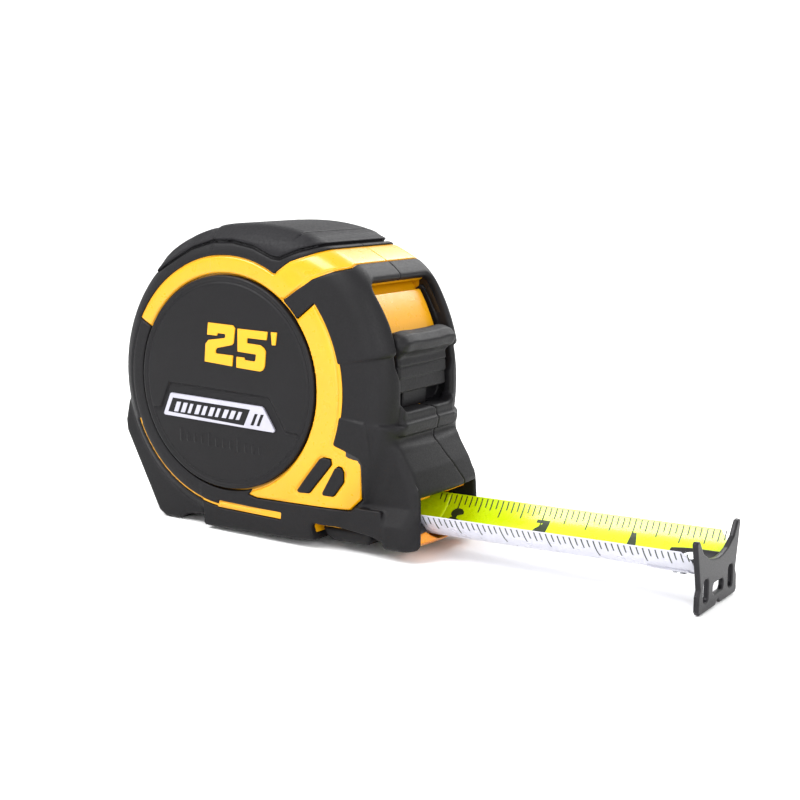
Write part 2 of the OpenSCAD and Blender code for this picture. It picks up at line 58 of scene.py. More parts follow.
MM = 0.001
SPINDLE_HEIGHT = 40.3
BASE = -SPINDLE_HEIGHT
BLADE_WIDTH = 31.75
BLADE_ZERO = 129.5
BLADE_END = BLADE_ZERO - 1
BLADE_TRAVEL = 71.5
BLADE_SPLIT = BLADE_END - 5.3
BLADE_SPARE = 2.0
EDGE_Z = BASE + 9.5
CURL = math.radians(59.2)
CURL_RADIUS = BLADE_WIDTH / (2 * CURL)
CURL_Z = EDGE_Z + CURL_RADIUS * math.cos(CURL)
SIXTEENTH = 25.4 / 16


def linear(code):
    """A colour written as sRGB hex, turned to linear."""
    parts = [int(code[i:i + 2], 16) / 255 for i in (0, 2, 4)]
    return tuple(c / 12.92 if c <= 0.04045 else ((c + 0.055) / 1.055) ** 2.4 for c in parts)


def colour(name, code, text):
    return FloatVectorProperty(name=name, description=text, default=linear(code), subtype="COLOR",
                               min=0, max=1)


def length(name, mm, text):
    return FloatProperty(name=name, description=text, default=mm * MM, min=0, unit="LENGTH", precision=5)


class TapeSizes(bpy.types.PropertyGroup):
    mould_step: length("Mould step", 0.42, "Spacing of the mesh on the large mouldings")
    tick_width: length("Tick width", 0.32, "Width of the printed marks")
    tick_count: IntProperty(name="Ticks", description="Sixteenths that show on the blade", default=52, min=1)


class TapeColours(bpy.types.PropertyGroup):
    rubber: colour("Rubber", "0A090C", "Overmoulded rubber")
    yellow: colour("Yellow", "D29400", "Moulded plastic shells")
    lime: colour("Lime", "C2DA00", "Top lacquer of the blade")
    white: colour("White", "BDBDC8", "Lower lacquer of the blade")
    ink: colour("Ink", "26301C", "Printed marks")
    silver: colour("Silver", "B2B1BC", "Printed plates")
    black_steel: colour("Black steel", "1A191C", "Oxidised hook")
    floor: colour("Floor", "F4F4F4", "Studio floor")


# ---- shapes as distance fields, in millimetres about the spindle ----

def soft_or(a, b, k):
    h = np.maximum(k - np.abs(a - b), 0) / k
    return np.minimum(a, b) - h * h * k * 0.25


def soft_and(a, b, k):
    return -soft_or(-a, -b, k)


def cut(a, b, k):
    """a with b taken out, its new edge rounded over k."""
    return soft_and(a, -b, k)


def outline(x, z, points, grow=0.0):
    """Distance to a closed outline in the XZ plane, grown with round corners."""
    least, inside = None, False
    for (ax, az), (bx, bz) in zip(points, points[-1:] + points[:-1]):
        ex, ez, wx, wz = bx - ax, bz - az, x - ax, z - az
        t = np.clip((wx * ex + wz * ez) / (ex * ex + ez * ez), 0, 1)
        d = (wx - ex * t) ** 2 + (wz - ez * t) ** 2
        least = d if least is None else np.minimum(least, d)
        above, below, left = z >= az, z < bz, ex * wz > ez * wx
        inside = inside ^ ((above & below & left) | (~above & ~below & ~left))
    return np.where(inside, -1, 1) * np.sqrt(least) - grow


def ring(x, z, inner, outer, start, end):
    """Distance to a sector of a ring about the spindle, angles in degrees, under half a turn."""
    rho = np.hypot(x, z)
    a, b = math.radians(start), math.radians(end)
    side = np.maximum(math.sin(a) * x - math.cos(a) * z, math.cos(b) * z - math.sin(b) * x)
    return np.maximum(np.maximum(inner - rho, rho - outer), side)


def slab(flat, y, y0, y1, k):
    return soft_and(flat, np.maximum(y0 - y, y - y1), k)


def rounded_disc(x, y, z, cx, cz, r, half_width, c):
    q = np.hypot(x - cx, z - cz) - (r - c)
    w = np.abs(y) - (half_width - c)
    return np.hypot(np.maximum(q, 0), np.maximum(w, 0)) + np.minimum(np.maximum(q, w), 0) - c


def case_skin(x, y, z, inset=0.0):
    """The outside of the case: round rear, flatter crown, round front, flat base."""
    half, c = 21.3 - inset, 8 - inset
    rear = rounded_disc(x, y, z, 1, 0.6, 40.2 - inset, half, c)
    crown = rounded_disc(x, y, z, 6, -20.2, 61.6 - inset, half, c)
    front = rounded_disc(x, y, z, 0, 0, 51 - inset, half, c)
    ahead = np.maximum(soft_and(crown, front, 1.5), np.maximum(-9 - x, np.minimum(-4 - x, z - 8)))
    return soft_and(soft_or(rear, ahead, 1.2), BASE + inset - z, 1.2)


NOSE = [(38, -13), (50.2, -15.6), (53.4, -20.8), (55.4, -25.4), (55.6, -28), (55.4, -38.3), (49.6, -38.4),
        (47.4, -36.6), (46.4, -34.4), (40, -34.4)]
REAR_FOOT = [(-30, -4), (-37.4, -8.6), (-38.6, -14), (-38.3, -16.8), (-27.2, -38.4), (-25.4, -39.5),
             (-20.4, -39.5), (-18, -38), (-12, -37.4), (-12, -30)]
FLAG = [(34, -13.5), (42.4, -16.3), (43.5, -17.8), (43.5, -27), (39.8, -30.3), (9.4, -30.3), (6.6, -29.6),
        (12, -24), (20, -16), (26, -8)]
FLAG_SLOTS = [[(23, -26.6), (23.6, -27.3), (26.3, -27.3), (27.2, -26.8), (34.2, -18.6), (34, -17.2),
               (31.2, -17), (30.4, -17.5)],
              [(30.8, -26.6), (31.4, -27.3), (34, -27.3), (35, -26.7), (38, -22.8), (38, -20.2),
               (37.3, -19.1), (35.8, -18.9), (35, -19.4)]]
BAND = [(14.2, 26), (16.8, 30.3), (21, 33), (26, 34.8), (33, 37.2), (33, 50), (39, 50), (39, 32.2),
        (34, 31), (28, 28.8), (19.6, 23.4), (18, 23.6)]
FOOT_BAR = [(-4, -34.4), (-3.4, -32.4), (17.3, -33.5), (17.1, -35.2)]
PAD = [(-27, 27.5), (-23, 29.6), (-18.5, 32), (-12, 35.4), (-5, 37.4), (2, 37.6), (9, 36.4), (15.5, 33.8),
       (17.6, 33.6), (23, 35.8), (31, 38), (32.6, 38.2), (32.6, 60), (-27, 60)]


SCREW_SPOTS = [(-22.2, 22.2), (-22.2, -22.2), (26.6, 27.2), (31.5, -15.5)]


def drawn_in(x, y, z):
    """Where a point of the rounded shoulder falls on the flat side when the outlines are drawn on it."""
    deep = np.clip(22 - np.abs(y), 0, 8) * np.clip((34 - z) / 4, 0, 1)
    return x + 0.55 * deep * np.clip((x - 10) / 15, 0, 1), z + 0.188 * deep


def windows(x, z):
    """Where the yellow shells show through the rubber."""
    open_ = ring(x, z, 29.3, 34, 60, 152)
    open_ = soft_or(open_, ring(x, z, 29.3, 37, -24, 38), 0.5)
    open_ = np.minimum(open_, ring(x, z, 29.3, 30, 30, 66))
    open_ = soft_or(open_, outline(x, z, BAND), 0.8)
    flag = np.maximum(outline(x, z, FLAG), 29.3 - np.hypot(x, z))
    for slot in FLAG_SLOTS:
        flag = cut(flag, outline(x, z, slot), 0.3)
    open_ = soft_or(open_, flag, 0.8)
    open_ = np.minimum(open_, ring(x, z, 33.6, 34.3, 201, 268))
    return np.minimum(open_, outline(x, z, FOOT_BAR))


def around(x, z, start, end):
    """Distance along a circle of the front's radius to a range of angles in degrees."""
    turn = np.degrees(np.arctan2(z, x))
    return np.maximum(start - turn, turn - end) * math.radians(1) * 50


def hood(x, y, z):
    """The opening for the lock: a rounded oblong, narrower at the foot above the slide."""
    rho, turn = np.hypot(x, z), np.degrees(np.arctan2(z, x))
    half = np.where(rho > 47.2, np.interp(turn, [3.5, 7.5, 20, 30], [12.7, 14.2, 14.3, 15.2]), 14.2)
    u = np.abs(turn - 14.3) * math.radians(1) * 50 - (17.5 - 3)
    v = np.abs(y) - (half - 3)
    flat = np.hypot(np.maximum(u, 0), np.maximum(v, 0)) + np.minimum(np.maximum(u, v), 0) - 3
    return np.maximum(flat, 44.42 - rho)


def lining(x, y, z):
    """Rubber skin that lines the lock's opening and the mouth; under the slot it is kept as a black floor,
    which is painted shade for the deep shadow at the slot's bottom.
    """
    rho, turn = np.hypot(x, z), np.degrees(np.arctan2(z, x))
    well = np.maximum(hood(x, y, z) - 0.8, (turn - 33) * 0.8)
    # below R 44.5 the skin stays only for turns under 4 degrees, a floor closing the slot: painted shade,
    # black where the slot's bottom lies in shadow
    well = np.maximum(well, np.where(rho < 44.5, (turn - 4) * 0.8, -1))
    lips = np.maximum(mouth(x, y, z) - 0.7, 49.5 - x)
    return np.minimum(well, lips)


def mouth(x, y, z):
    """The way out of the nose for the blade."""
    over = np.maximum(np.abs(y) - 13.8, np.maximum(EDGE_Z - 2 - z, z - EDGE_Z - 4.4))
    curl = np.maximum(np.hypot(y, z - CURL_Z) - CURL_RADIUS - 1.05,
                      np.maximum(z - EDGE_Z + 1, np.abs(y) - 13.9))
    low = np.maximum(np.abs(y) - 13.7, np.maximum(z + 35.6, 49.6 - x))
    return np.maximum(np.minimum(np.minimum(over, curl), low), 34 - x)


def brake_slot(x, y, z):
    inner = outline(x, z, [(27.8, -33.0), (43.8, -33.0), (45.6, -37), (47, -43), (27.8, -43)], 1.0)
    inner = np.maximum(inner, np.abs(y) - 17.3)
    skirt = outline(x, z, [(27.8, -36.2), (43.4, -38.0), (46.2, -39.0), (47, -43), (27.8, -43)], 1.0)
    return np.minimum(inner, skirt)


def jacket(x, y, z):
    """Both rubber jackets as one body, before they are parted."""
    skin = case_skin(x, y, z)
    # the nose bows across, and its foot spreads beside the brake
    bow = (0.0042 * y ** 2 + 0.5 * np.maximum(np.abs(y) - 14.8, 0)) * np.clip((x - 44) / 8, 0, 1)
    wide = np.abs(y) - 2.6 * np.clip((-29 - z) / 5, 0, 1)
    shape = soft_or(skin, slab(outline(x + bow, z, NOSE, 2.0), wide, -40, 16, 2.4), 3.0)
    skirt = slab(outline(x, z, [(30, -30), (47, -30), (48, -37.4), (43.8, -37.4), (30, -36)]), np.abs(y),
                 17.3, 18.8, 0.6)
    shape = soft_or(shape, skirt, 1.0)
    shape = soft_or(shape, slab(outline(x, z, REAR_FOOT, 0.8), y, -18, 18, 1.5), 0.8)
    lip = slab(ring(x, z, 47, 52.0, -12.2, -8.9), y, -15.2, 15.2, 3.0)
    shape = soft_or(shape, lip, 1.4)
    # soft crease beside the lock, fading towards the rear
    hollow = 1.1 * np.clip((x - 38) / 8, 0, 1) - 0.1
    scoop = np.maximum(-(skin + hollow), np.maximum(around(x, z, -9, 11), 13.2 - np.abs(y)))
    shape = cut(shape, scoop, 1.6)
    # cheek of the front: a shallow step down towards the nose
    cheek = np.maximum(-(skin + 0.7), outline(x, z, [(46, 6), (60, 8), (60, -20), (46, -20), (44, -8)]))
    shape = cut(shape, np.maximum(cheek, 19.6 - np.abs(y)), 0.9)
    # gap under the crease, round the seat of the disc and in front of the rear foot
    shape = cut(shape, slab(ring(x, z, 33.2, 33.6, 150, 204), np.abs(y), 20.7, 30, 0.3), 0.5)
    open_ = windows(*drawn_in(x, y, z))
    shape = cut(shape, np.maximum(open_, -(skin + 2.4)), 0.7)
    shape = cut(shape, np.maximum(np.hypot(x, z) - 29.3, 19.0 - np.abs(y)), 0.6)
    # groove round the grip pad
    pad = np.abs(outline(x, z, PAD)) - 0.35
    shape = cut(shape, np.maximum(pad, -(skin + 0.7)), 0.4)
    shape = cut(shape, hood(x, y, z), 1.2)
    shape = cut(shape, brake_slot(x, y, z), 0.8)
    shape = cut(shape, mouth(x, y, z), 0.9)
    shell = np.minimum(case_skin(x, y, z, 2.2), slab(outline(x, z, NOSE, 0.1), y, -14.8, 14.8, 0.4))
    shape = np.maximum(shape, np.minimum(-shell, lining(x, y, z)))
    # the lock's tail runs under the lining
    tail = np.maximum(np.abs(y) - 6.4, np.maximum(44.3 - np.hypot(x, z), np.hypot(x, z) - 46.5))
    return np.maximum(shape, -np.maximum(tail, 30 - x))


def parting(x, z):
    """Where the right and left jackets meet, across the case: wavy down the front."""
    front = np.interp(z, [-27, -25, -18, -14, -12, -6, -4], [7.4, 7.0, 3.2, 1.8, 3.4, 3.6, 0])
    return np.where(x > 40, front, 0.0)


# ---- from field to mesh ----

CORNERS = [(i, j, k) for i in (0, 1) for j in (0, 1) for k in (0, 1)]
CELL_EDGES = [(a, b) for a in range(8) for b in range(8)
              if a < b and sum(p != q for p, q in zip(CORNERS[a], CORNERS[b])) == 1]


def net(field, low, high, step):
    """Quads on the surface where the field is zero, one point for each cell it crosses."""
    axes = [np.arange(l, h + step, step) for l, h in zip(low, high)]
    grid = np.broadcast_to(field(axes[0][:, None, None], axes[1][None, :, None], axes[2][None, None, :]),
                           [len(a) for a in axes])
    inside = grid < 0
    size = [n - 1 for n in grid.shape]
    count = sum(inside[i:i + size[0], j:j + size[1], k:k + size[2]].astype(np.int8) for i, j, k in CORNERS)
    mixed = (count > 0) & (count < 8)
    cells = np.argwhere(mixed)
    number = np.full(mixed.shape, -1)
    number[mixed] = np.arange(len(cells))
    values = np.stack([grid[cells[:, 0] + i, cells[:, 1] + j, cells[:, 2] + k] for i, j, k in CORNERS], 1)
    total, hits = np.zeros((len(cells), 3)), np.zeros(len(cells))
    for a, b in CELL_EDGES:
        va, vb = values[:, a], values[:, b]
        crossed = (va < 0) != (vb < 0)
        t = np.where(crossed, va / np.where(crossed, va - vb, 1), 0)[:, None]
        total += np.where(crossed[:, None], np.array(CORNERS[a]) * (1 - t) + np.array(CORNERS[b]) * t, 0)
        hits += crossed
    points = np.array([a[0] for a in axes]) + step * (cells + total / hits[:, None])
    quads = []
    for a in range(3):
        b, c = (a + 1) % 3, (a + 2) % 3
        here = [slice(1, n) for n in size]
        here[a] = slice(0, size[a])
        there = list(here)
        there[a] = slice(1, size[a] + 1)
        one, two = inside[tuple(here)], inside[tuple(there)]
        spots = np.argwhere(one != two)
        out = one[tuple(spots.T)]
        spots = spots + np.array([0 if n == a else 1 for n in range(3)])
        around_edge = []
        for db, dc in ((-1, -1), (0, -1), (0, 0), (-1, 0)):
            cell = spots.copy()
            cell[:, b] += db
            cell[:, c] += dc
            around_edge.append(number[tuple(cell.T)])
        faces = np.stack(around_edge, 1)
        quads.append(np.where(out[:, None], faces, faces[:, ::-1]))
    return points, np.vstack(quads)


def settle(field, points, step):
    """Moves points onto the field's surface along its slope."""
    for _ in range(2):
        x, y, z = points.T
        value = field(x, y, z)
        h = step * 0.2
        slope = np.stack([field(x + h, y, z) - field(x - h, y, z), field(x, y + h, z) - field(x, y - h, z),
                          field(x, y, z + h) - field(x, y, z - h)], 1) / (2 * h)
        size = np.maximum((slope ** 2).sum(1), 0.2)
        move = -value[:, None] * slope / size[:, None]
        reach = np.maximum(np.linalg.norm(move, axis=1, keepdims=True) / (0.45 * step), 1)
        points = points + move / reach
    return points


def to_row(points):
    return (np.asarray(points, float) + np.array([0, 0, SPINDLE_HEIGHT])) * MM


def put(name, points, faces, body, material, replaces=(), smooth=True):
    """A finished piece from points about the spindle in millimetres and faces."""
    mesh = bpy.data.meshes.new(name)
    mesh.from_pydata(to_row(points).tolist(), [], [list(map(int, f)) for f in faces])
    mesh.validate()
    mesh.update()
    piece = bpy.data.objects.new(name, mesh)
    bpy.context.scene.collection.objects.link(piece)
    finish_piece(piece, body, material, replaces)
    if smooth:
        mesh.shade_smooth()
    return piece


def finish_piece(piece, body, material, replaces=()):
    if material is not None:
        piece.data.materials.clear()
        piece.data.materials.append(material)
    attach(piece, body)
    if replaces:
        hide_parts(*replaces)


def moulded(name, field, low, high, step, body, material, replaces=()):
    points, quads = net(field, low, high, step)
    return put(name, settle(field, points, step), quads, body, material, replaces)


def plate_of(name, shapes, y0, y1, bevel, body, material, replaces=(), place=None):
    """Flat outlines in the XZ plane made into bevelled plates between y0 and y1."""
    bm = bmesh.new()
    for shape in shapes:
        low = [bm.verts.new((px, y0, pz)) for px, pz in shape]
        face = bm.faces.new(low)
        top = bmesh.ops.extrude_face_region(bm, geom=[face])
        bmesh.ops.translate(bm, vec=(0, y1 - y0, 0),
                            verts=[v for v in top["geom"] if isinstance(v, bmesh.types.BMVert)])
    if bevel:
        bmesh.ops.bevel(bm, geom=list(bm.edges), offset=bevel, segments=2, affect="EDGES", clamp_overlap=True)
    if place is not None:
        for v in bm.verts:
            v.co = place(v.co)
    for v in bm.verts:
        v.co = Vector(to_row(v.co))
    bmesh.ops.recalc_face_normals(bm, faces=list(bm.faces))
    mesh = bpy.data.meshes.new(name)
    bm.to_mesh(mesh)
    bm.free()
    piece = bpy.data.objects.new(name, mesh)
    bpy.context.scene.collection.objects.link(piece)
    finish_piece(piece, body, material, replaces)
    mesh.shade_smooth()
    mesh.set_sharp_from_angle(angle=math.radians(35))
    return piece


# ---- materials ----

def add(tree, kind, feed=(), **settings):
    """Adds a node, sets its properties, then feeds its sockets with links or values."""
    node = tree.nodes.new(kind)
    for key, value in settings.items():
        setattr(node, key, value)
    for socket, source in dict(feed).items():
        if isinstance(source, bpy.types.NodeSocket):
            tree.links.new(source, node.inputs[socket])
        else:
            node.inputs[socket].default_value = source
    return node


def rgba(c):
    return (c[0], c[1], c[2], 1)


def nose_mask(tree, place):
    """One where the shell is drawn black: the nose, and the cheeks beside the lock."""
    at = add(tree, "ShaderNodeSeparateXYZ", {0: place}).outputs

    def over(value, mm, kind="GREATER_THAN"):
        return add(tree, "ShaderNodeMath", {0: value, 1: mm * MM}, operation=kind).outputs[0]
    off = add(tree, "ShaderNodeMath", {0: at["Y"]}, operation="ABSOLUTE").outputs[0]
    cheek = add(tree, "ShaderNodeMath", {0: over(off, 14.1), 1: over(at["X"], 38)},
                operation="MULTIPLY").outputs[0]
    nose = add(tree, "ShaderNodeMath", {0: over(at["Z"], 28.3, "LESS_THAN"), 1: over(at["X"], 44)},
               operation="MULTIPLY").outputs[0]
    return add(tree, "ShaderNodeMath", {0: cheek, 1: nose}, operation="MAXIMUM").outputs[0]


def finish(name, base, rough, grain_mm, depth_mm, vary=0.08, metal=0.0, rough_vary=0.06, stretch=(1, 1, 1),
           patch_mm=9.0, coated=None, **shader):
    """A procedural finish: broad colour drift, a grain of a real size in the bump, uneven roughness."""
    material = bpy.data.materials.new(name)
    material.use_nodes = True
    tree = material.node_tree
    tree.nodes.clear()
    place = add(tree, "ShaderNodeTexCoord").outputs["Object"]
    if stretch != (1, 1, 1):
        place = add(tree, "ShaderNodeMapping", {"Vector": place, "Scale": stretch}).outputs["Vector"]
    patches = add(tree, "ShaderNodeTexNoise", {"Vector": place, "Scale": 1 / (patch_mm * MM), "Detail": 4.0,
                                               "Roughness": 0.6})
    grain = add(tree, "ShaderNodeTexNoise", {"Vector": place, "Scale": 1 / (grain_mm * MM), "Detail": 2.0,
                                             "Roughness": 0.5})
    dark = tuple(c * (1 - vary) for c in base)
    light = tuple(min(1, c * (1 + vary)) for c in base)
    ramp = add(tree, "ShaderNodeValToRGB", {"Fac": patches.outputs["Fac"]})
    ramp.color_ramp.elements[0].position, ramp.color_ramp.elements[1].position = 0.32, 0.68
    ramp.color_ramp.elements[0].color, ramp.color_ramp.elements[1].color = rgba(dark), rgba(light)
    tint = ramp.outputs["Color"]
    if coated is not None:
        tint = add(tree, "ShaderNodeMix", {0: nose_mask(tree, place), 6: tint, 7: rgba(coated)},
                   data_type="RGBA").outputs[2]
    spread = add(tree, "ShaderNodeMapRange", {"Value": grain.outputs["Fac"], "From Min": 0.3, "From Max": 0.7,
                                              "To Min": rough - rough_vary, "To Max": rough + rough_vary})
    bump = add(tree, "ShaderNodeBump", {"Height": grain.outputs["Fac"], "Strength": 0.6,
                                        "Distance": depth_mm * MM})
    surface = add(tree, "ShaderNodeBsdfPrincipled", {"Base Color": tint, "Metallic": metal,
                                                     "Roughness": spread.outputs["Result"],
                                                     "Normal": bump.outputs["Normal"], **shader})
    add(tree, "ShaderNodeOutputMaterial", {"Surface": surface.outputs["BSDF"]})
    return material


PALETTE = {}


def palette():
    """Every finish of the tape, made once."""
    if PALETTE:
        return PALETTE
    c = bpy.context.scene.tape_colours
    PALETTE.update(
        # thermoplastic rubber moulded against spark-eroded steel: dull, finely pebbled, slightly warm
        # black; the pebble is about 0.1 mm and is drawn at 0.45 mm so that it shows
        rubber=finish("tpr_rubber_spark_eroded", c.rubber, 0.56, 0.45, 0.05, vary=0.16, patch_mm=14,
                      **{"Specular IOR Level": 0.24}),
        # the same rubber on the grip, moulded coarser
        grip=finish("tpr_grip_coarse_moulded", linear("0D0C10"), 0.6, 0.7, 0.09, vary=0.14,
                    **{"Specular IOR Level": 0.24}),
        # ABS moulded in a polished tool: smooth, soft gloss, very faint orange peel
        yellow=finish("yellow_abs_moulded", c.yellow, 0.3, 2.2, 0.02, vary=0.03, rough_vary=0.04,
                      **{"Coat Weight": 0.15, "Coat Roughness": 0.2}),
        # the shells: the same ABS, with the rubber's black carried over the nose
        shell=finish("yellow_abs_black_nose", c.yellow, 0.34, 2.2, 0.02, vary=0.03, rough_vary=0.04,
                     coated=c.rubber),
        # black ABS disc with a fine satin texture
        disc=finish("black_abs_satin", linear("09080B"), 0.5, 0.4, 0.03, vary=0.12,
                    **{"Specular IOR Level": 0.24}),
        # pad-printed enamel: opaque and slightly glossy
        mark=finish("yellow_printed_enamel", linear("D49A00"), 0.34, 1.2, 0.01, vary=0.03),
        # aluminised film under a clear coat
        silver=finish("silver_film", c.silver, 0.34, 0.5, 0.008, vary=0.05, metal=0.7, rough_vary=0.05),
        # lacquered steel strip, top side: fluorescent lime under clear nylon
        lime=finish("lime_lacquer_nylon_coated", c.lime, 0.28, 3.0, 0.008, vary=0.05, rough_vary=0.04,
                    **{"Coat Weight": 0.4, "Coat Roughness": 0.12}),
        white=finish("white_lacquer_nylon_coated", c.white, 0.3, 3.0, 0.008, vary=0.04, rough_vary=0.04,
                     **{"Coat Weight": 0.3, "Coat Roughness": 0.15}),
        # screen-printed ink
        ink=finish("printed_ink", c.ink, 0.4, 0.3, 0.004, vary=0.2),
        # black-oxidised pressed steel: dark, with a low oily sheen and lighter rubbed patches
        black_steel=finish("black_oxide_steel", c.black_steel, 0.42, 0.35, 0.02, vary=0.3, metal=0.55,
                           patch_mm=3),
        bright=finish("turned_steel", linear("C8CACF"), 0.28, 0.25, 0.01, vary=0.06, metal=1.0,
                      stretch=(1, 1, 4)),
        zinc=finish("zinc_plated_steel", linear("A9ACB2"), 0.36, 0.6, 0.02, vary=0.14, metal=1.0, patch_mm=2),
        spring=finish("spring_steel_tempered", linear("7B828C"), 0.32, 0.4, 0.01, vary=0.12, metal=1.0,
                      stretch=(1, 5, 1)),
        natural=finish("natural_acetal", linear("E6E6E2"), 0.4, 1.5, 0.02, vary=0.03),
        liner=finish("nylon_liner_die_cut", linear("D8D8DA"), 0.45, 0.8, 0.02, vary=0.04),
        # yellow polyurethane of the mouth's bumper and guide, given a deeper orange base colour: painted
        # shade and glow, the yellow as it looks in the shade under the blade; the weak subsurface is its own
        # translucency
        amber=finish("amber_polyurethane", linear("E08A10"), 0.3, 1.5, 0.02, vary=0.08,
                     **{"Subsurface Weight": 0.15, "Subsurface Radius": (0.003, 0.0015, 0.0004)}),
        clip=finish("belt_clip_brushed_steel", linear("AEB1B7"), 0.3, 0.5, 0.012, vary=0.08, metal=1.0,
                    stretch=(6, 1, 1)),
        brass=finish("turned_brass", linear("C9A24A"), 0.3, 0.3, 0.01, vary=0.08, metal=1.0),
    )
    return PALETTE


# ---- the pieces, one operator each ----

class Build:
    bl_options = {"REGISTER", "UNDO"}

    def execute(self, context):
        self.make(context, context.scene.tape_sizes, palette())
        return {"FINISHED"}


class TAPE_OT_jackets(Build, bpy.types.Operator):
    """Moulds the right and left rubber jackets over the shells"""
    bl_idname = "tape.jackets"
    bl_label = "Rubber Jackets"

    def make(self, context, s, m):
        step = s.mould_step / MM
        for name, side, slot in (("right_jacket_rubber", -1, "black_rubber"),
                                 ("left_jacket_rubber", 1, "black_rubber")):
            def half(x, y, z, side=side):
                away = side * (parting(x, z) - y) + np.where(z > 0, 0.0, 0.05)
                whole = jacket(x, y, z)
                if side > 0:
                    for px, pz in SCREW_SPOTS:
                        whole = cut(whole, np.maximum(np.hypot(x - px, z - pz) - 3.1, 15 - y), 0.5)
                return soft_and(whole, away, np.where(z > 0, 0.03, 0.35))
            low, high = ((-41.5, -22.5, -41.5), (60, 8.5, 43))
            if side > 0:
                low, high = ((-41.5, -0.9, -41.5), (60, 22.6, 43))
            moulded(name, half, low, high, step, "case", m["rubber"],
                    ("right_jacket",) if side < 0 else ("left_jacket",))


class TAPE_OT_shell_trim(Build, bpy.types.Operator):
    """Moulds the yellow faces of the shells that show through the jackets"""
    bl_idname = "tape.shell_trim"
    bl_label = "Shell Faces"

    def make(self, context, s, m):
        def trim(x, y, z, side):
            skin = case_skin(x, y, z, 0.12)
            face = soft_and(skin, windows(*drawn_in(x, y, z)) + 0.14, 0.8)
            face = np.maximum(face, -(skin + 1.3))
            face = np.maximum(face, 29.35 - np.hypot(x, z))
            return np.maximum(face, -side * y + 0.03)
        for name, side, low, high in (("right_shell_faces", -1, -22, 0.5), ("left_shell_faces", 1, -0.5, 22)):
            moulded(name, lambda x, y, z, side=side: trim(x, y, z, side), (-36, low, -37), (46, high, 42),
                    0.38, "case", m["yellow"])
        # the deeper yellow that shows past the slots in the flag is rubber
        for name, side in (("right_flag_inlays", -1), ("left_flag_inlays", 1)):
            def inlay(x, y, z, side=side):
                u, w = drawn_in(x, y, z)
                flat = np.minimum(outline(u, w, FLAG_SLOTS[0]), outline(u, w, FLAG_SLOTS[1])) + 0.05
                skin = case_skin(x, y, z, 0.3)
                face = soft_and(skin, flat, 0.5)
                return np.maximum(np.maximum(face, -(skin + 1.3)), 15 - side * y)
            low, high = ((22, -22, -28), (39, -15, -16)) if side < 0 else ((22, 15, -28), (39, 22, -16))
            moulded(name, inlay, low, high, 0.3, "case", m["rubber"])


class TAPE_OT_grip_pad(Build, bpy.types.Operator):
    """Moulds the stepped grip pad over the crown"""
    bl_idname = "tape.grip_pad"
    bl_label = "Grip Pad"

    def make(self, context, s, m):
        def pad(x, y, z):
            skin = case_skin(x, y, z)
            flat = outline(x, z, PAD) + 0.35
            # lower border of the pad, then its raised middle with two humps behind
            raised = 0.35 + 0.55 / (1 + np.exp(-(np.minimum(-flat - 2.2, (17.0 - np.abs(y)) * 0.7)) * 2.5))
            humps = 0.0
            for cx, w in ((-19.5, 2.4), (-12.2, 2.2), (-4.6, 2.0)):
                humps = humps + 0.45 * np.exp(-((x - cx - (z - 37) * 0.25) / w) ** 2) \
                    / (1 + np.exp((np.abs(y) - 17.5) * 2))
            body = soft_and(skin - np.minimum(raised + humps, 0.98), flat, 0.9)
            cross = np.maximum(np.abs(x - 20.5 - (z - 38) * 0.5) - 0.2, np.abs(y) - 30)
            body = cut(body, np.maximum(cross, 0.35 - skin), 0.2)
            return np.maximum(body, -(skin + 0.55))
        moulded("grip_pad_rubber", pad, (-28.5, -22.6, 26), (34, 22.6, 43.4), 0.42, "case",
                m["grip"], ("top_grip_pad",))


PANEL = [(-27.5, -9), (-22.5, -8.6), (-19.3, -1.4), (14.4, -3), (19.6, -11.6), (27.5, -12.2), (24, -22),
         (0, -31), (-24, -22)]


def disc_face(x, y, z, side):
    """One side disc: a raised rim; the right one also gets a stepped lower panel and a row of moulded ticks.
    """
    rho = np.hypot(x, z)
    w = side * y
    disc = soft_and(rho - 28.8, np.maximum(w - 21.95, 19.4 - w), 0.9)
    groove = np.hypot(rho - 27.2, (w - 22.15)) - 0.5
    disc = cut(disc, groove, 0.25)
    if side > 0:
        return disc
    panel = np.maximum(outline(x, z, PANEL), 21.72 - w)
    line = np.maximum(np.abs(outline(x, z, PANEL)) - 0.26, 21.4 - w)
    disc = cut(disc, np.maximum(line, rho - 26.6), 0.2)
    disc = cut(disc, np.maximum(panel, rho - 26.6), 0.15)
    for k in range(12):
        tall = 1.9 if k % 4 == 0 else 1.25
        cx = -15.6 + k * 2.45
        cz = -16.6 - 0.06 * cx + (0.35 if k % 4 == 0 else 0)
        tick = np.maximum(np.abs(x - cx) - 0.42, np.abs(z - cz) - tall)
        disc = soft_or(disc, np.maximum(tick + 0.1, np.maximum(w - 21.98, 20 - w)), 0.15)
    return disc


class TAPE_OT_side_discs(Build, bpy.types.Operator):
    """Moulds the round black discs in the sides of the case"""
    bl_idname = "tape.side_discs"
    bl_label = "Side Discs"

    def make(self, context, s, m):
        for name, side in (("right_disc_face", -1), ("left_disc_face", 1)):
            low, high = ((-29.5, -22.4, -29.5), (29.5, -19, 29.5)) if side < 0 else \
                ((-29.5, 19, -29.5), (29.5, 22.4, 29.5))
            moulded(name, lambda x, y, z, side=side: disc_face(x, y, z, side), low, high, 0.34, "case",
                    m["disc"], ("right_side_disc",) if side < 0 else ("left_side_disc",))


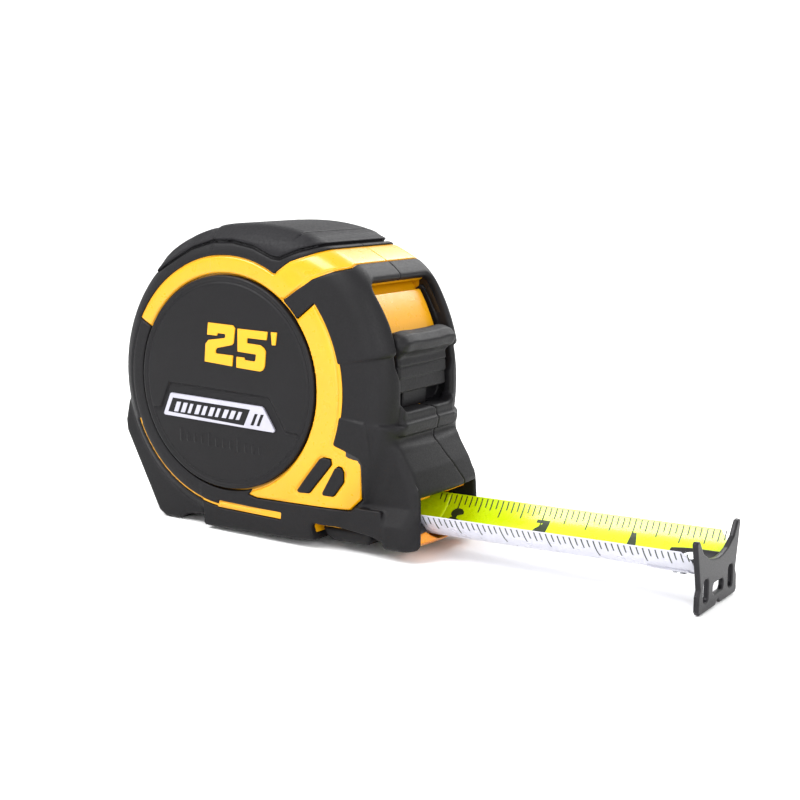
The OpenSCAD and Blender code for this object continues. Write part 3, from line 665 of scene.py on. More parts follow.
PLATE = [(-21.3, -9.9), (-18.9, -4.3), (-18.4, -4.0), (12.4, -5.3), (13, -5.7), (16.6, -11.3), (16.1, -11.9),
         (-20.9, -10.3)]
PLATE_BAND = [(-19.7, -9.3), (-17.9, -5.3), (8.6, -6.4), (6.4, -10.9)]
FIGURE_TWO = [(-5.2, 16), (3.2, 15.65), (3.9, 14.9), (3.3, 10.9), (2.7, 10.4), (-2.3, 9.3), (-2.8, 8.6),
              (-2.7, 7.8), (3.1, 7.6), (2.7, 4.7), (-6.6, 5.4), (-6.2, 10.2), (-5.2, 11.3), (0.3, 12.1),
              (0.6, 12.5), (0.5, 13.2), (-2, 13.3), (-2.2, 12.6), (-5.6, 12.7)]
FIGURE_FIVE = [(4.7, 14.9), (14.6, 14.6), (14.2, 12.4), (7.9, 12.6), (7.8, 11.2), (12.2, 10.95), (13.3, 10.3),
               (13.9, 9.4), (13.5, 5.4), (12.9, 4.4), (11.9, 4), (4.1, 4.5), (4.2, 7.4), (6.8, 7.3), (7, 6.7),
               (10.1, 6.5), (10.5, 6.9), (10.7, 8.4), (4.6, 8.8)]
FOOT_MARK = [(15.6, 14.6), (17.6, 14.6), (17.1, 11.2), (15.9, 11.2)]


class TAPE_OT_plates(Build, bpy.types.Operator):
    """Makes the silver plates, their hatched bands and the length mark"""
    bl_idname = "tape.plates"
    bl_label = "Plates and Length Mark"

    def make(self, context, s, m):
        def left(v):
            return Vector((-v.x, -v.y, v.z - 9))
        for side, place, node in (("right", None, "right_nameplate"), ("left", left, "left_nameplate")):
            plate_of(side + "_silver_plate", [PLATE], -22.26, -21.3, 0.12, "case",
                     m["silver"], (node,), place)
            plate_of(side + "_plate_band", [PLATE_BAND], -22.27, -22.0, 0.02, "case", m["disc"],
                     (), place)
            bars = []
            for k in range(10):
                bx = -17.6 + 2.36 * k
                w = (1.5, 1.5, 1.1, 1.5, 1.3, 1.5, 1.1, 1.5, 1.5, 1.2)[k]
                z0, z1 = -9.1 - 0.05 * k, -6.3 - 0.11 * k
                bars.append([(bx, z0), (bx + 1.15, z1), (bx + 1.15 + w, z1), (bx + w, z0)])
            plate_of(side + "_plate_hatch", bars, -22.29, -22.1, 0.02, "case", m["silver"],
                     (), place)
            ends = [[(bx, -10.6), (bx + 1.5, -7.4), (bx + 2.5, -7.4), (bx + 1, -10.6)] for bx in (8.6, 10.6)]
            plate_of(side + "_plate_dashes", ends, -22.28, -22.1, 0.02, "case", m["disc"],
                     (), place)
        plate_of("length_figures", [FIGURE_TWO, FIGURE_FIVE, FOOT_MARK], -22.2, -21.4, 0.08, "case",
                 m["mark"], ("length_mark",))


class TAPE_OT_lock(Build, bpy.types.Operator):
    """Moulds the thumb pad of the lock and the slide that it rides on"""
    bl_idname = "tape.lock"
    bl_label = "Lock"

    def make(self, context, s, m):
        steps = [(46.9, 14.6), (46.8, -0.1), (48.0, -0.3), (48.35, 0.1), (48.2, 2.9), (47.95, 3.2),
                 (48.6, 3.5), (48.45, 6.0), (48.1, 6.3), (48.6, 6.7), (48.3, 8.8), (48.6, 10.2),
                 (48.9, 13.0), (48.2, 14.4)]
        top = [(45.8, 14.0), (47.6, 14.5), (49.6, 13.9), (50.7, 12.6), (50.2, 11.2), (48.6, 10.2),
               (46.4, 9.4)]

        def pad(x, y, z):
            ribs = slab(outline(x, z, steps, 0.15), y, -12.0, 12.0, 1.0)
            tall = np.interp(z, [7, 9.5, 12, 16], [12.9, 13.5, 14.0, 14.0])
            wave = 0.3 * np.cos(y * 0.42) * np.clip((np.abs(y) - 3) / 6, 0, 1)
            ledge = soft_and(outline(x, z + wave, top, 0.95), np.abs(y) - tall, 3.4)
            whole = soft_or(ribs, ledge, 1.1)
            return np.maximum(whole, 47.05 - np.hypot(x, z))
        moulded("lock_thumb_pad", pad, (44, -15, -1.5), (53, 15, 19), 0.28, "lock",
                m["rubber"], ("thumb_pad",))

        def slide(x, y, z):
            strip = slab(ring(x, z, 44.5, 47, 3, 31.6), y, -12.7, 12.7, 0.9)
            return strip

        # the tail and its toe take the black of the discs, not the slide's yellow: painted shade, a dark part
        # standing in for the deep shadow seen through the slot
        def tail(x, y, z):
            arm = slab(ring(x, z, 44.5, 46.1, -33, 3), y, -6, 6, 0.5)
            toe = slab(ring(x, z, 40.6, 46.1, -35.2, -31.6), y, -5, 5, 0.5)
            return np.minimum(arm, toe)
        moulded("lock_slide_plastic", slide, (34, -14.4, 1), (48, 14.4, 29), 0.4, "lock",
                m["yellow"], ("lock_slide",))
        moulded("lock_slide_tail", tail, (32, -6.6, -28), (47, 6.6, 3.4), 0.4, "lock",
                m["disc"])


class TAPE_OT_brake(Build, bpy.types.Operator):
    """Moulds the finger brake under the case"""
    bl_idname = "tape.brake"
    bl_label = "Finger Brake"

    def make(self, context, s, m):
        def trough(x, y, z):
            return np.maximum(np.hypot(y, z + 20.8) - 18.1, 27.3 - x)

        def lever(x, y, z):
            side = outline(x, z, [(28, -34), (42.5, -34), (42.5, -36.2), (28, -36.2)], 0.35)
            bar = slab(side, y, -17, 17, 0.8)
            barrel = slab(np.hypot(x - 24, z + 33.9) - 1.5, y, -14.2, 14.2, 0.3)
            whole = np.minimum(bar, barrel)
            whole = np.maximum(whole, 0.95 - np.hypot(x - 24, z + 33.9))
            return cut(whole, trough(x, y, z), 0.4)

        def pad(x, y, z):
            flat = outline(x, z, [(28.4, -36.9), (42.2, -36.9), (42.2, -38.6), (41.5, -39.5), (31.4, -39.5),
                                  (29.4, -38.6)], 0.6)
            whole = slab(flat, y, -17, 17, 1.6)
            whole = cut(whole, trough(x, y, z), 0.4)
            for rx in (31.6, 33.9, 36.2, 38.5, 40.8):
                whole = cut(whole, np.maximum(np.hypot(x - rx, z + 40.3) - 0.62, np.abs(y) - 14.5), 0.3)
            return whole
        moulded("brake_lever_plastic", lever, (21.5, -17.6, -37.4), (44.4, 17.6, -31.6), 0.34, "brake",
                m["yellow"], ("brake_lever",))
        moulded("brake_pad_rubber", pad, (27, -17.6, -41), (44.6, 17.6, -35.6), 0.32, "brake",
                m["rubber"], ("brake_pad",))


class TAPE_OT_mouth(Build, bpy.types.Operator):
    """Moulds the bumper and the guide in the mouth of the nose"""
    bl_idname = "tape.mouth"
    bl_label = "Mouth"

    def make(self, context, s, m):
        def bumper(x, y, z):
            bowed = x + 0.0084 * y ** 2
            flat = outline(bowed, z, [(50.6, -36.4), (56.2, -36.4), (56.4, -38.2), (54.6, -39.4),
                                      (50.6, -39.4)], 0.6)
            whole = slab(flat, y, -13.7, 13.7, 0.8)
            return cut(whole, np.hypot(y, z - CURL_Z) - CURL_RADIUS - 1.0, 0.6)

        def guide(x, y, z):
            flat = outline(x, z, [(47.6, EDGE_Z + 4.4), (47.6, EDGE_Z + 2.8), (49.2, EDGE_Z + 1.9),
                                  (53.2, EDGE_Z + 2.8), (53.6, EDGE_Z + 4.4)], 0.2)
            whole = slab(flat, y, -13.8, 13.8, 0.5)
            return cut(whole, np.maximum(np.abs(y) - 4, z - EDGE_Z - 3.4), 0.5)
        # bumper and guide both take the orange finish above: painted shade and glow over their yellow
        moulded("mouth_bumper_lip", bumper, (49.4, -14.4, -41), (57.8, 14.4, -35.4), 0.3, "case",
                m["amber"], ("mouth_bumper",))
        moulded("blade_guide_bar", guide, (46.8, -14.4, EDGE_Z + 1), (54.6, 14.4, EDGE_Z + 5.2), 0.3, "case",
                m["amber"], ("blade_guide",))


def on_blade(x, arc, lift):
    """A point on the blade: distance along, distance round from the middle, height over the middle line."""
    a = arc / CURL_RADIUS
    r = CURL_RADIUS - lift
    return (x, r * math.sin(a), CURL_Z - r * math.cos(a))


def strip_part(name, x0, x1, body, material_top, material_low, clip_end):
    """A length of blade: lime on the hollow side, white below, with a rim all round."""
    nx, na, half, thick = max(2, int((x1 - x0) / 1.2)), 44, BLADE_WIDTH / 2, 0.1
    points, faces = [], []
    for lift in (thick, -thick):
        for i in range(nx + 1):
            for j in range(na + 1):
                arc = half * (2 * j / na - 1)
                end = x1 - (max(0, abs(arc) - half + 2.6) * 0.8 if clip_end else 0)
                points.append(on_blade(x0 + (end - x0) * i / nx, arc, lift))
    w, n = na + 1, (nx + 1) * (na + 1)
    for i in range(nx):
        for j in range(na):
            a, b, c, d = i * w + j, (i + 1) * w + j, (i + 1) * w + j + 1, i * w + j + 1
            faces.append((a, b, c, d))
            faces.append((n + d, n + c, n + b, n + a))
    top_faces = len(faces)
    for i in range(nx):
        a, b = i * w, (i + 1) * w
        faces.append((a, n + a, n + b, b))
        faces.append((a + na, b + na, n + b + na, n + a + na))
    for j in range(na):
        a, b = j, nx * w + j
        faces.append((a, a + 1, n + a + 1, n + a))
        faces.append((b, n + b, n + b + 1, b + 1))
    piece = put(name, points, faces, body, material_top)
    piece.data.materials.append(material_low)
    for k, polygon in enumerate(piece.data.polygons):
        if (k < top_faces and k % 2 == 1) or k >= top_faces:
            polygon.material_index = 1
    piece.data.set_sharp_from_angle(angle=math.radians(40))
    return piece


def tick_tree():
    """Geometry nodes: a graded row of ticks laid on the curled blade."""
    tree = bpy.data.node_groups.new("blade_ticks", "GeometryNodeTree")
    face = tree.interface
    face.new_socket(name="Geometry", in_out="INPUT", socket_type="NodeSocketGeometry")
    for name, kind in (("Ticks", "NodeSocketInt"), ("First", "NodeSocketInt"), ("Start", "NodeSocketFloat"),
                       ("Pitch", "NodeSocketFloat"), ("Tick Width", "NodeSocketFloat"),
                       ("Short", "NodeSocketFloat"), ("Middle", "NodeSocketFloat"),
                       ("Long", "NodeSocketFloat"), ("Edge Arc", "NodeSocketFloat"),
                       ("Inward", "NodeSocketFloat"), ("Curl Radius", "NodeSocketFloat"),
                       ("Curl Height", "NodeSocketFloat"), ("Lift", "NodeSocketFloat"),
                       ("Ink", "NodeSocketMaterial")):
        face.new_socket(name=name, in_out="INPUT", socket_type=kind)
    face.new_socket(name="Geometry", in_out="OUTPUT", socket_type="NodeSocketGeometry")
    given = add(tree, "NodeGroupInput").outputs

    def math_(op, a, b=0.0, c=0.0):
        return add(tree, "ShaderNodeMath", {0: a, 1: b, 2: c}, operation=op).outputs[0]
    line = add(tree, "GeometryNodeMeshLine", {"Count": given["Ticks"], "Start Location": (0, 0, 0),
                                              "Offset": (1, 0, 0)}, mode="OFFSET")
    number = math_("ADD", add(tree, "GeometryNodeInputIndex").outputs[0], given["First"])
    half_inch = math_("COMPARE", math_("FLOORED_MODULO", number, 8.0), 0.0, 0.1)
    quarter = math_("COMPARE", math_("FLOORED_MODULO", number, 4.0), 0.0, 0.1)
    eighth = math_("COMPARE", math_("FLOORED_MODULO", number, 2.0), 0.0, 0.1)
    inch = math_("COMPARE", math_("FLOORED_MODULO", number, 16.0), 0.0, 0.1)
    step = math_("SUBTRACT", given["Middle"], given["Short"])
    reach = math_("ADD", given["Short"], math_("MULTIPLY", eighth, math_("MULTIPLY", step, 0.35)))
    reach = math_("ADD", reach, math_("MULTIPLY", quarter, math_("MULTIPLY", step, 0.65)))
    reach = math_("ADD", reach, math_("MULTIPLY", half_inch, math_("MULTIPLY", step, 0.45)))
    reach = math_("ADD", reach, math_("MULTIPLY", inch, math_("SUBTRACT", given["Long"],
                                                            math_("MULTIPLY", given["Middle"], 1.45))))
    along = math_("SUBTRACT", given["Start"], math_("MULTIPLY", number, given["Pitch"]))
    placed = add(tree, "GeometryNodeSetPosition", {
        "Geometry": line.outputs["Mesh"],
        "Position": add(tree, "ShaderNodeCombineXYZ", {"X": along}).outputs[0]})
    mark = add(tree, "GeometryNodeMeshGrid", {"Size X": 1.0, "Size Y": 1.0, "Vertices X": 2, "Vertices Y": 9})
    mark = add(tree, "GeometryNodeTransform", {"Geometry": mark.outputs["Mesh"], "Translation": (0, 0.5, 0)})
    laid = add(tree, "GeometryNodeInstanceOnPoints", {
        "Points": placed.outputs[0], "Instance": mark.outputs[0],
        "Scale": add(tree, "ShaderNodeCombineXYZ",
                     {"X": given["Tick Width"], "Y": reach, "Z": 1.0}).outputs[0]})
    real = add(tree, "GeometryNodeRealizeInstances", {"Geometry": laid.outputs[0]})
    spot = add(tree, "ShaderNodeSeparateXYZ", {0: add(tree, "GeometryNodeInputPosition").outputs[0]}).outputs
    arc = math_("ADD", given["Edge Arc"], math_("MULTIPLY", spot["Y"], given["Inward"]))
    angle = math_("DIVIDE", arc, given["Curl Radius"])
    r = math_("SUBTRACT", given["Curl Radius"], given["Lift"])
    wrapped = add(tree, "ShaderNodeCombineXYZ", {
        "X": spot["X"], "Y": math_("MULTIPLY", r, math_("SINE", angle)),
        "Z": math_("SUBTRACT", given["Curl Height"], math_("MULTIPLY", r, math_("COSINE", angle)))})
    bent = add(tree, "GeometryNodeSetPosition", {"Geometry": real.outputs[0], "Position": wrapped.outputs[0]})
    inked = add(tree, "GeometryNodeSetMaterial", {"Geometry": bent.outputs[0], "Material": given["Ink"]})
    add(tree, "NodeGroupOutput", {0: inked.outputs[0]})
    return tree


def baked(name, tree, values):
    """Runs a geometry tree with its inputs and returns the result as a plain object."""
    mesh = bpy.data.meshes.new(name)
    mesh.from_pydata([(0, 0, 0)], [], [])
    piece = bpy.data.objects.new(name, mesh)
    bpy.context.scene.collection.objects.link(piece)
    modifier = piece.modifiers.new("rule", "NODES")
    modifier.node_group = tree
    for item in tree.interface.items_tree:
        if item.in_out == "INPUT" and item.name in values:
            modifier[item.identifier] = values[item.name]
    bpy.context.view_layer.update()
    graph = bpy.context.evaluated_depsgraph_get()
    solid = bpy.data.meshes.new_from_object(piece.evaluated_get(graph), depsgraph=graph)
    piece.modifiers.remove(modifier)
    piece.data = solid
    solid.name = name
    return piece


FIGURES = {
    "1": [(-0.5, 0), (0.55, 0), (0.55, 5.4), (-0.35, 5.4), (-1.5, 4.5), (-1.5, 3.5), (-0.5, 4.0)],
    "2": [(-1.7, 0), (1.8, 0), (1.8, 1.0), (-0.1, 1.0), (1.5, 2.9), (1.8, 3.7), (1.7, 4.5), (1.1, 5.2),
          (0.1, 5.45), (-0.9, 5.2), (-1.6, 4.5), (-1.7, 3.8), (-0.7, 3.8), (-0.4, 4.3), (0.1, 4.45),
          (0.6, 4.2), (0.75, 3.7), (0.5, 3.1), (-1.7, 0.9)],
    "3": [(-1.8, 1.6), (-1.6, 0.8), (-0.9, 0.1), (0.1, -0.1), (1.1, 0.2), (1.7, 0.9), (1.8, 1.7), (1.5, 2.4),
          (1.0, 2.8), (1.5, 3.3), (1.6, 4.1), (1.3, 4.9), (0.7, 5.3), (0, 5.45), (-0.9, 5.2), (-1.5, 4.6),
          (-1.7, 3.9), (-0.7, 3.8), (-0.4, 4.3), (0, 4.5), (0.5, 4.2), (0.6, 3.7), (0.3, 3.3), (-0.3, 3.2),
          (-0.3, 2.3), (0.4, 2.25), (0.8, 1.7), (0.6, 1.1), (0.1, 0.85), (-0.5, 1.0), (-0.8, 1.6)],
}


class TAPE_OT_blade(Build, bpy.types.Operator):
    """Makes the curled blade with its printed scale and figures"""
    bl_idname = "tape.blade"
    bl_label = "Blade"

    def make(self, context, s, m):
        strip_part("blade_strip_outer", BLADE_SPLIT, BLADE_END, "blade_end", m["lime"], m["white"], True)
        inner = strip_part("blade_strip_inner", BLADE_SPLIT - BLADE_TRAVEL - BLADE_SPARE, BLADE_SPLIT,
                           "blade_end", m["lime"], m["white"], False)
        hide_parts("blade_strip")
        tree = tick_tree()
        zero_x, pitch, width = BLADE_ZERO * MM, SIXTEENTH * MM, s.tick_width
        half = BLADE_WIDTH / 2 * MM
        rises = {"top": (0.1 + 0.03) * MM, "low": -(0.1 + 0.03) * MM}
        for part, first, last in (("outer", 1, 3), ("inner", 4, s.tick_count)):
            for row, edge, inward, lift, short, middle, long_ in (
                    ("far", half - 0.0003, -1.0, rises["top"], 2.6, 4.4, 15.5),
                    ("near", -half + 0.0003, 1.0, rises["low"], 2.6, 4.4, 7.5)):
                piece = baked("ticks_%s_%s" % (row, part), tree, {
                    "Ticks": last - first + 1, "First": first, "Start": zero_x, "Pitch": pitch,
                    "Tick Width": width, "Short": short * MM, "Middle": middle * MM, "Long": long_ * MM,
                    "Edge Arc": edge, "Inward": inward, "Curl Radius": CURL_RADIUS * MM,
                    "Curl Height": (CURL_Z + SPINDLE_HEIGHT) * MM, "Lift": lift, "Ink": m["ink"]})
                bm = bmesh.new()
                bm.from_mesh(piece.data)
                bmesh.ops.solidify(bm, geom=list(bm.faces), thickness=0.02 * MM)
                bmesh.ops.recalc_face_normals(bm, faces=list(bm.faces))
                bm.to_mesh(piece.data)
                bm.free()
                finish_piece(piece, "blade_end", m["ink"])
                if part == "inner":
                    self.shrink(piece)
        for k in (1, 2, 3):
            shape = FIGURES[str(k)]
            cx = BLADE_ZERO - 25.4 * k
            self.figure("figure_%d" % k, shape, cx + 0.6, 11.6, m["ink"])
        self.shrink(inner)

    def figure(self, name, shape, cx, arc0, ink):
        """A figure read from the far side, printed on the hollow of the blade."""
        bm = bmesh.new()
        face = bm.faces.new([bm.verts.new((-px, -py, 0)) for px, py in shape])
        bmesh.ops.triangulate(bm, faces=[face])
        bmesh.ops.subdivide_edges(bm, edges=list(bm.edges), cuts=2, use_grid_fill=True)
        for v in bm.verts:
            v.co = Vector(to_row(on_blade(cx + v.co.x * 1.05, arc0 + v.co.y * 1.05, 0.13)))
        bmesh.ops.solidify(bm, geom=list(bm.faces), thickness=0.02 * MM)
        bmesh.ops.recalc_face_normals(bm, faces=list(bm.faces))
        mesh = bpy.data.meshes.new(name)
        bm.to_mesh(mesh)
        bm.free()
        piece = bpy.data.objects.new(name, mesh)
        bpy.context.scene.collection.objects.link(piece)
        finish_piece(piece, "blade_end", ink)
        self.shrink(piece)

    def shrink(self, piece):
        """Gives the piece of blade that goes in a mesh of its own."""
        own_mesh(piece)


STATIONS = [(0.5, 3, -25.85), (8, 7, -26.3), (16, 14, -27), (24, 25, -28), (29.5, 38, -29.1), (35, 53, -30.2),
            (46, 57, -30.6), (49.9, 59.2, EDGE_Z)]


class TAPE_OT_run_in(Build, bpy.types.Operator):
    """Makes the blade's run from the coil to the mouth"""
    bl_idname = "tape.run_in"
    bl_label = "Blade Run-in"

    def make(self, context, s, m):
        xs = np.linspace(STATIONS[0][0], STATIONS[-1][0], 60)
        curls = np.radians(np.interp(xs, [p[0] for p in STATIONS], [p[1] for p in STATIONS]))
        edges = np.interp(xs, [p[0] for p in STATIONS], [p[2] for p in STATIONS])
        na, points, faces = 28, [], []
        for lift in (0.1, -0.1):
            for x, curl, edge in zip(xs, curls, edges):
                r = BLADE_WIDTH / (2 * curl)
                for j in range(na + 1):
                    a = curl * (2 * j / na - 1)
                    centre = edge + r * math.cos(curl)
                    points.append((x, (r - lift) * math.sin(a), centre - (r - lift) * math.cos(a)))
        w, n, nx = na + 1, len(points) // 2, len(xs) - 1
        for i in range(nx):
            for j in range(na):
                a, b, c, d = i * w + j, (i + 1) * w + j, (i + 1) * w + j + 1, i * w + j + 1
                faces += [(a, b, c, d), (n + d, n + c, n + b, n + a)]
            a, b = i * w, (i + 1) * w
            faces += [(a, n + a, n + b, b), (a + na, b + na, n + b + na, n + a + na)]
        for j in range(na):
            a, b = j, nx * w + j
            faces += [(a, a + 1, n + a + 1, n + a), (b, n + b, n + b + 1, b + 1)]
        put("blade_run_in", points, faces, "case", m["lime"])


def hook_outline():
    t, b, p, h = EDGE_Z + 3.1, EDGE_Z - 15.1, 14.7, 12.7
    half = [(0, t - 6.6), (3, t - 6.3), (6, t - 5.6), (9.9, t - 3.6), (p - 2.2, t - 0.2), (p - 0.9, t),
            (p - 0.2, t - 0.5), (13.2, t - 6), (h - 0.4, t - 9.6), (h - 0.9, t - 12.0), (h - 0.1, t - 13.6),
            (h, b + 1.0), (h - 0.8, b + 0.1), (1.6, b + 0.1), (0, b + 1.3)]
    return half + [(-y, z) for y, z in reversed(half[1:-1])]


class TAPE_OT_hook(Build, bpy.types.Operator):
    """Presses the end hook: plate with prongs and slots, and the tab on the blade"""
    bl_idname = "tape.hook"
    bl_label = "End Hook"

    def make(self, context, s, m):
        shape, b = hook_outline(), EDGE_Z - 15.1

        def oblong(y, z, cy, cz, hy, hz, r):
            u, v = np.abs(y - cy) - (hy - r), np.abs(z - cz) - (hz - r)
            return np.hypot(np.maximum(u, 0), np.maximum(v, 0)) + np.minimum(np.maximum(u, v), 0) - r

        def hook(x, y, z):
            flat = outline(y, z, shape, 0.0)
            holes = np.minimum(oblong(np.abs(y), z, 8.1, b + 5.2, 1.6, 2.8, 1.2),
                               oblong(y, z, 0, b + 4.5, 3.4, 1.35, 1.2))
            flat = cut(flat, holes, 0.3)
            plate = soft_and(flat, np.abs(x - BLADE_ZERO - 0.7) - 0.7, 0.45)
            rho, turn = np.hypot(y, z - CURL_Z), np.degrees(np.arctan2(np.abs(y), CURL_Z - z))
            nose = 32 - 0.05 * np.maximum(124 - x, 0) ** 2
            shell = np.maximum(rho - CURL_RADIUS + 0.24, CURL_RADIUS - 1.44 - rho)
            tab = np.maximum((turn - nose) * 0.24, np.maximum(115.9 - x, x - BLADE_ZERO - 0.3))
            tab = soft_and(shell, tab, 0.6)
            for px, py in ((122.5, -3.2), (122.5, 3.2), (118, 0)):
                slot = np.hypot(np.maximum(np.abs(x - px) - 0.8, 0), y - py) - 1.37
                tab = cut(tab, slot, 0.25)
            return soft_or(plate, tab, 0.8)
        moulded("end_hook_steel", hook, (115, -15.4, -46.6), (131.4, 15.4, -27), 0.24, "hook",
                m["black_steel"], ("end_hook",))


def screw_tree():
    """Geometry nodes: one screw set on each given point."""
    tree = bpy.data.node_groups.new("screw_set", "GeometryNodeTree")
    face = tree.interface
    face.new_socket(name="Geometry", in_out="INPUT", socket_type="NodeSocketGeometry")
    for name, kind in (("Screw", "NodeSocketObject"), ("Spots", "NodeSocketObject"),
                       ("Scale", "NodeSocketFloat"), ("Steel", "NodeSocketMaterial")):
        face.new_socket(name=name, in_out="INPUT", socket_type=kind)
    face.new_socket(name="Geometry", in_out="OUTPUT", socket_type="NodeSocketGeometry")
    given = add(tree, "NodeGroupInput").outputs
    screw = add(tree, "GeometryNodeObjectInfo", {"Object": given["Screw"]})
    spots = add(tree, "GeometryNodeObjectInfo", {"Object": given["Spots"]})
    turn = add(tree, "FunctionNodeRandomValue", {"Min": 0.0, "Max": 1.5, "Seed": 4}, data_type="FLOAT")
    spin = add(tree, "ShaderNodeCombineXYZ", {"Y": turn.outputs["Value"]})
    laid = add(tree, "GeometryNodeInstanceOnPoints", {
        "Points": spots.outputs["Geometry"], "Instance": screw.outputs["Geometry"],
        "Rotation": spin.outputs[0], "Scale": given["Scale"]})
    real = add(tree, "GeometryNodeRealizeInstances", {"Geometry": laid.outputs[0]})
    coated = add(tree, "GeometryNodeSetMaterial", {"Geometry": real.outputs[0], "Material": given["Steel"]})
    add(tree, "NodeGroupOutput", {0: coated.outputs[0]})
    return tree


class TAPE_OT_screws(Build, bpy.types.Operator):
    """Sets the four cross-head screws that close the case"""
    bl_idname = "tape.screws"
    bl_label = "Case Screws"

    def make(self, context, s, m):
        def screw(x, y, z):
            rho = np.hypot(x, z)
            dome = soft_and(rho - 2.55, np.maximum(np.hypot(rho, y - 12.6) - 6.6, 17.45 - y), 0.3)
            across, along = np.abs(x), np.abs(z)
            arm = np.minimum(np.maximum(across - 0.34, along - 1.7), np.maximum(along - 0.34, across - 1.7))
            dome = cut(dome, np.maximum(arm, 18.1 - y), 0.12)
            shank = np.maximum(rho - 1.3, np.maximum(y - 17.6, 11.8 - y))
            return np.minimum(dome, shank)
        points, quads = net(screw, (-3, 11.4, -3), (3, 19.6, 3), 0.2)
        points = settle(screw, points, 0.2) * MM
        one = bpy.data.objects.new("screw_pattern", bpy.data.meshes.new("screw_pattern"))
        one.data.from_pydata(points.tolist(), [], quads.tolist())
        one.data.shade_smooth()
        spots = bpy.data.objects.new("screw_spots", bpy.data.meshes.new("screw_spots"))
        spots.data.from_pydata([(px * MM, 0, (pz + SPINDLE_HEIGHT) * MM) for px, pz in SCREW_SPOTS], [], [])
        for o in (one, spots):
            context.scene.collection.objects.link(o)
        piece = baked("case_screw_set", screw_tree(), {"Screw": one, "Spots": spots, "Scale": 1.0,
                                                       "Steel": m["zinc"]})
        for o in (one, spots):
            bpy.data.objects.remove(o)
        finish_piece(piece, "case", m["zinc"], ("case_screws",))


class TAPE_OT_belt_clip(Build, bpy.types.Operator):
    """Bends the spring-steel belt clip on the left side"""
    bl_idname = "tape.belt_clip"
    bl_label = "Belt Clip"

    def make(self, context, s, m):
        y0, t, out = 22.0, 1.1, 27.4
        bend = [(y0 + 0.1, 18.8), (y0 + t, 19.9), (out, 21.0), (out + t - 0.1, 20.2), (out + t - 0.1, -17.9),
                (out + 0.1, -21), (out + 1.9, -25.8), (out + 1.1, -26.2), (out - t + 0.1, -21), (out, -17.6),
                (out, 18.6), (y0 + t, 17.4), (y0 + t, 3.1), (y0 + 0.1, 3.1)]

        def clip(x, y, z):
            flat = outline(y, z, bend)
            u, v = np.abs(x - 13) - 6.0, np.abs(z + 2.6) - 20.0
            plan = np.hypot(np.maximum(u, 0), np.maximum(v, 0)) + np.minimum(np.maximum(u, v), 0) - 4
            body = soft_and(flat, plan, 0.4)
            body = cut(body, np.maximum(np.hypot(x - 13, z - 10) - 1.7, y - 24), 0.2)
            body = cut(body, np.maximum(np.hypot(x - 13, z - 10) - 3.6, 24 - y), 0.3)
            window = np.hypot(np.maximum(np.abs(x - 13) - 3.2, 0), np.maximum(np.abs(z + 8) - 6, 0)) - 1.6
            dent = np.maximum(window, out + t - 0.45 - y)
            return cut(body, dent, 0.3)
        moulded("belt_clip_steel", clip, (2.6, 21.6, -27), (23.4, 29.8, 21.6), 0.3, "case",
                m["clip"], ("belt_clip",))


INSIDES = {
    "right_shell": "shell", "left_shell": "shell", "spindle": "bright", "spindle_screw": "zinc",
    "reel": "natural", "mainspring": "spring", "right_friction_disc": "liner", "left_friction_disc": "liner",
    "blade_coil": "lime", "blade_end_plate": "white", "hook_rivets": "bright", "lock_shoe": "rubber",
    "lock_detent_spring": "spring", "brake_pin": "bright", "brake_springs": "spring",
    "belt_clip_screw": "zinc", "clip_insert": "brass",
}


class TAPE_OT_insides(Build, bpy.types.Operator):
    """Gives the working parts inside the case their finishes"""
    bl_idname = "tape.insides"
    bl_label = "Working Parts"

    def make(self, context, s, m):
        for node, kind in INSIDES.items():
            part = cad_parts[node]
            part.data.materials.clear()
            part.data.materials.append(m[kind])


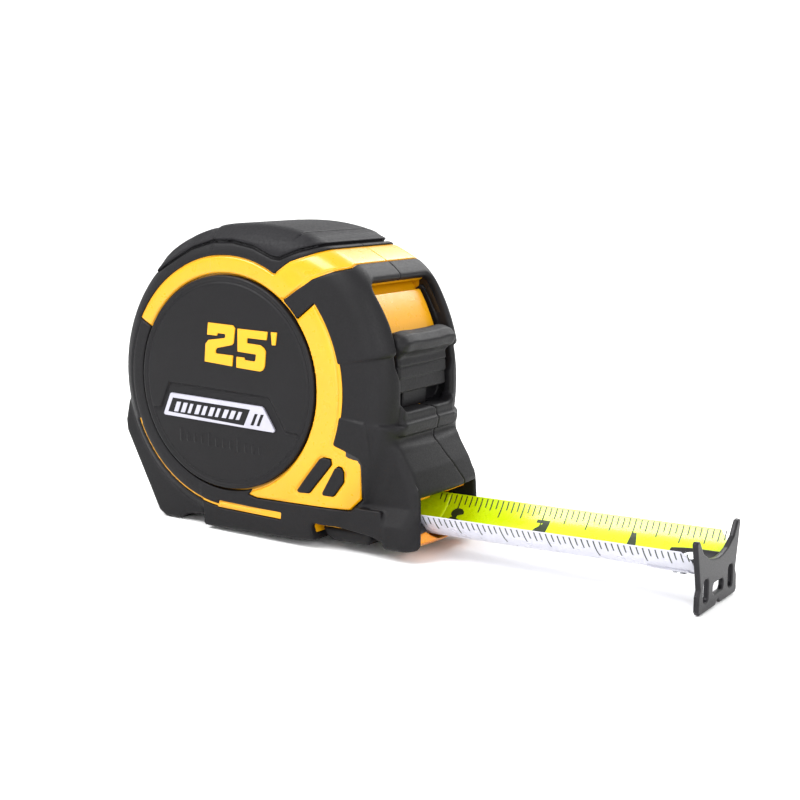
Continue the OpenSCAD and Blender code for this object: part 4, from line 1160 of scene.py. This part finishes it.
class TAPE_OT_stage(bpy.types.Operator):
    """Lays the pale floor, hangs the soft lights and sets the camera"""
    bl_idname = "tape.stage"
    bl_label = "Studio"

    def execute(self, context):
        scene = context.scene
        # the case rests on its rear foot and on the hook, which reaches below the case
        foot, toe = Vector((-0.027, 0, -0.0001)), Vector((0.1302, 0, -0.0058))
        lean = math.atan2(toe.z - foot.z, toe.x - foot.x)
        points, faces, n = [], [], 24
        for i in range(n + 1):
            t = i / n
            up = max(0, (t - 0.6) / 0.4) * math.pi / 2
            away = 1.4 * min(t, 0.6) / 0.6 + 0.9 * math.sin(up)
            rise = 0.9 * (1 - math.cos(up))
            for side in (-3.0, 3.0):
                points.append((side, away - 0.9, rise))
        for i in range(n):
            faces.append((2 * i, 2 * i + 1, 2 * i + 3, 2 * i + 2))
        mesh = bpy.data.meshes.new("studio_floor")
        az = math.radians(32.04)
        turn = Matrix.Translation(foot) @ Matrix.Rotation(-lean, 4, "Y") @ Matrix.Rotation(az, 4, "Z")
        mesh.from_pydata([tuple(turn @ Vector(p)) for p in points], [], faces)
        mesh.shade_smooth()
        floor = bpy.data.objects.new("studio_floor", mesh)
        scene.collection.objects.link(floor)
        paper = bpy.data.materials.new("studio_paper")
        paper.use_nodes = True
        tree = paper.node_tree
        tree.nodes.clear()
        surface = add(tree, "ShaderNodeBsdfPrincipled", {"Base Color": rgba(scene.tape_colours.floor),
                                                         "Roughness": 0.9, "Specular IOR Level": 0.1})
        add(tree, "ShaderNodeOutputMaterial", {"Surface": surface.outputs["BSDF"]})
        mesh.materials.append(paper)

        world = bpy.data.worlds.new("studio_air")
        world.use_nodes = True
        world.node_tree.nodes["Background"].inputs["Color"].default_value = (1, 1, 1, 1)
        world.node_tree.nodes["Background"].inputs["Strength"].default_value = 0.85
        scene.world = world
        scene.view_settings.view_transform = "Standard"
        centre = Vector((0.03, 0, 0.035))
        for name, spot, size, power in (
                ("key", (-0.25, -0.45, 0.75), 0.5, 9.0), ("front", (0.75, -0.35, 0.35), 0.4, 4.0),
                ("rim", (0.1, 0.6, 0.55), 0.5, 5.0), ("low", (0.15, -0.8, 0.1), 0.5, 2.5)):
            lamp = bpy.data.lights.new(name, "AREA")
            lamp.shape, lamp.size, lamp.energy = "SQUARE", size, power
            holder = bpy.data.objects.new(name, lamp)
            scene.collection.objects.link(holder)
            holder.location = spot
            holder.rotation_euler = (centre - Vector(spot)).to_track_quat("-Z", "Y").to_euler()
        camera = bpy.data.cameras.new("camera")
        camera.lens, camera.sensor_width = 68.94, 36
        camera.clip_start, camera.clip_end = 0.02, 20
        eye = bpy.data.objects.new("camera", camera)
        scene.collection.objects.link(eye)
        el = math.radians(9.03)
        back = Vector((math.sin(az) * math.cos(el), -math.cos(az) * math.cos(el), math.sin(el)))
        eye.location = (0.2542, -0.34, 0.1)
        eye.rotation_euler = (-back).to_track_quat("-Z", "Y").to_euler()
        scene.camera = eye
        return {"FINISHED"}


OPERATORS = (TAPE_OT_stage, TAPE_OT_insides, TAPE_OT_jackets, TAPE_OT_shell_trim, TAPE_OT_grip_pad,
             TAPE_OT_side_discs, TAPE_OT_plates, TAPE_OT_lock, TAPE_OT_brake, TAPE_OT_mouth, TAPE_OT_run_in,
             TAPE_OT_blade, TAPE_OT_hook, TAPE_OT_screws, TAPE_OT_belt_clip)


class TAPE_PT_panel(bpy.types.Panel):
    """Sizes, colours and build steps of the tape measure"""
    bl_idname = "TAPE_PT_panel"
    bl_label = "Tape Measure"
    bl_space_type = "VIEW_3D"
    bl_region_type = "UI"
    bl_category = "Tape Measure"

    def draw(self, context):
        for group in (context.scene.tape_sizes, context.scene.tape_colours):
            box = self.layout.box()
            for key in group.__annotations__:
                box.prop(group, key)
        for operator in OPERATORS:
            self.layout.operator(operator.bl_idname)


CLASSES = (TapeSizes, TapeColours, *OPERATORS, TAPE_PT_panel)


def register():
    for cls in CLASSES:
        bpy.utils.register_class(cls)
    bpy.types.Scene.tape_sizes = PointerProperty(type=TapeSizes)
    bpy.types.Scene.tape_colours = PointerProperty(type=TapeColours)


def unregister():
    del bpy.types.Scene.tape_colours
    del bpy.types.Scene.tape_sizes
    for cls in reversed(CLASSES):
        bpy.utils.unregister_class(cls)


def main():
    register()
    for operator in OPERATORS:
        group, name = operator.bl_idname.split(".")
        getattr(getattr(bpy.ops, group), name)()
    bpy.context.view_layer.update()


if __name__ == "__main__":
    main()
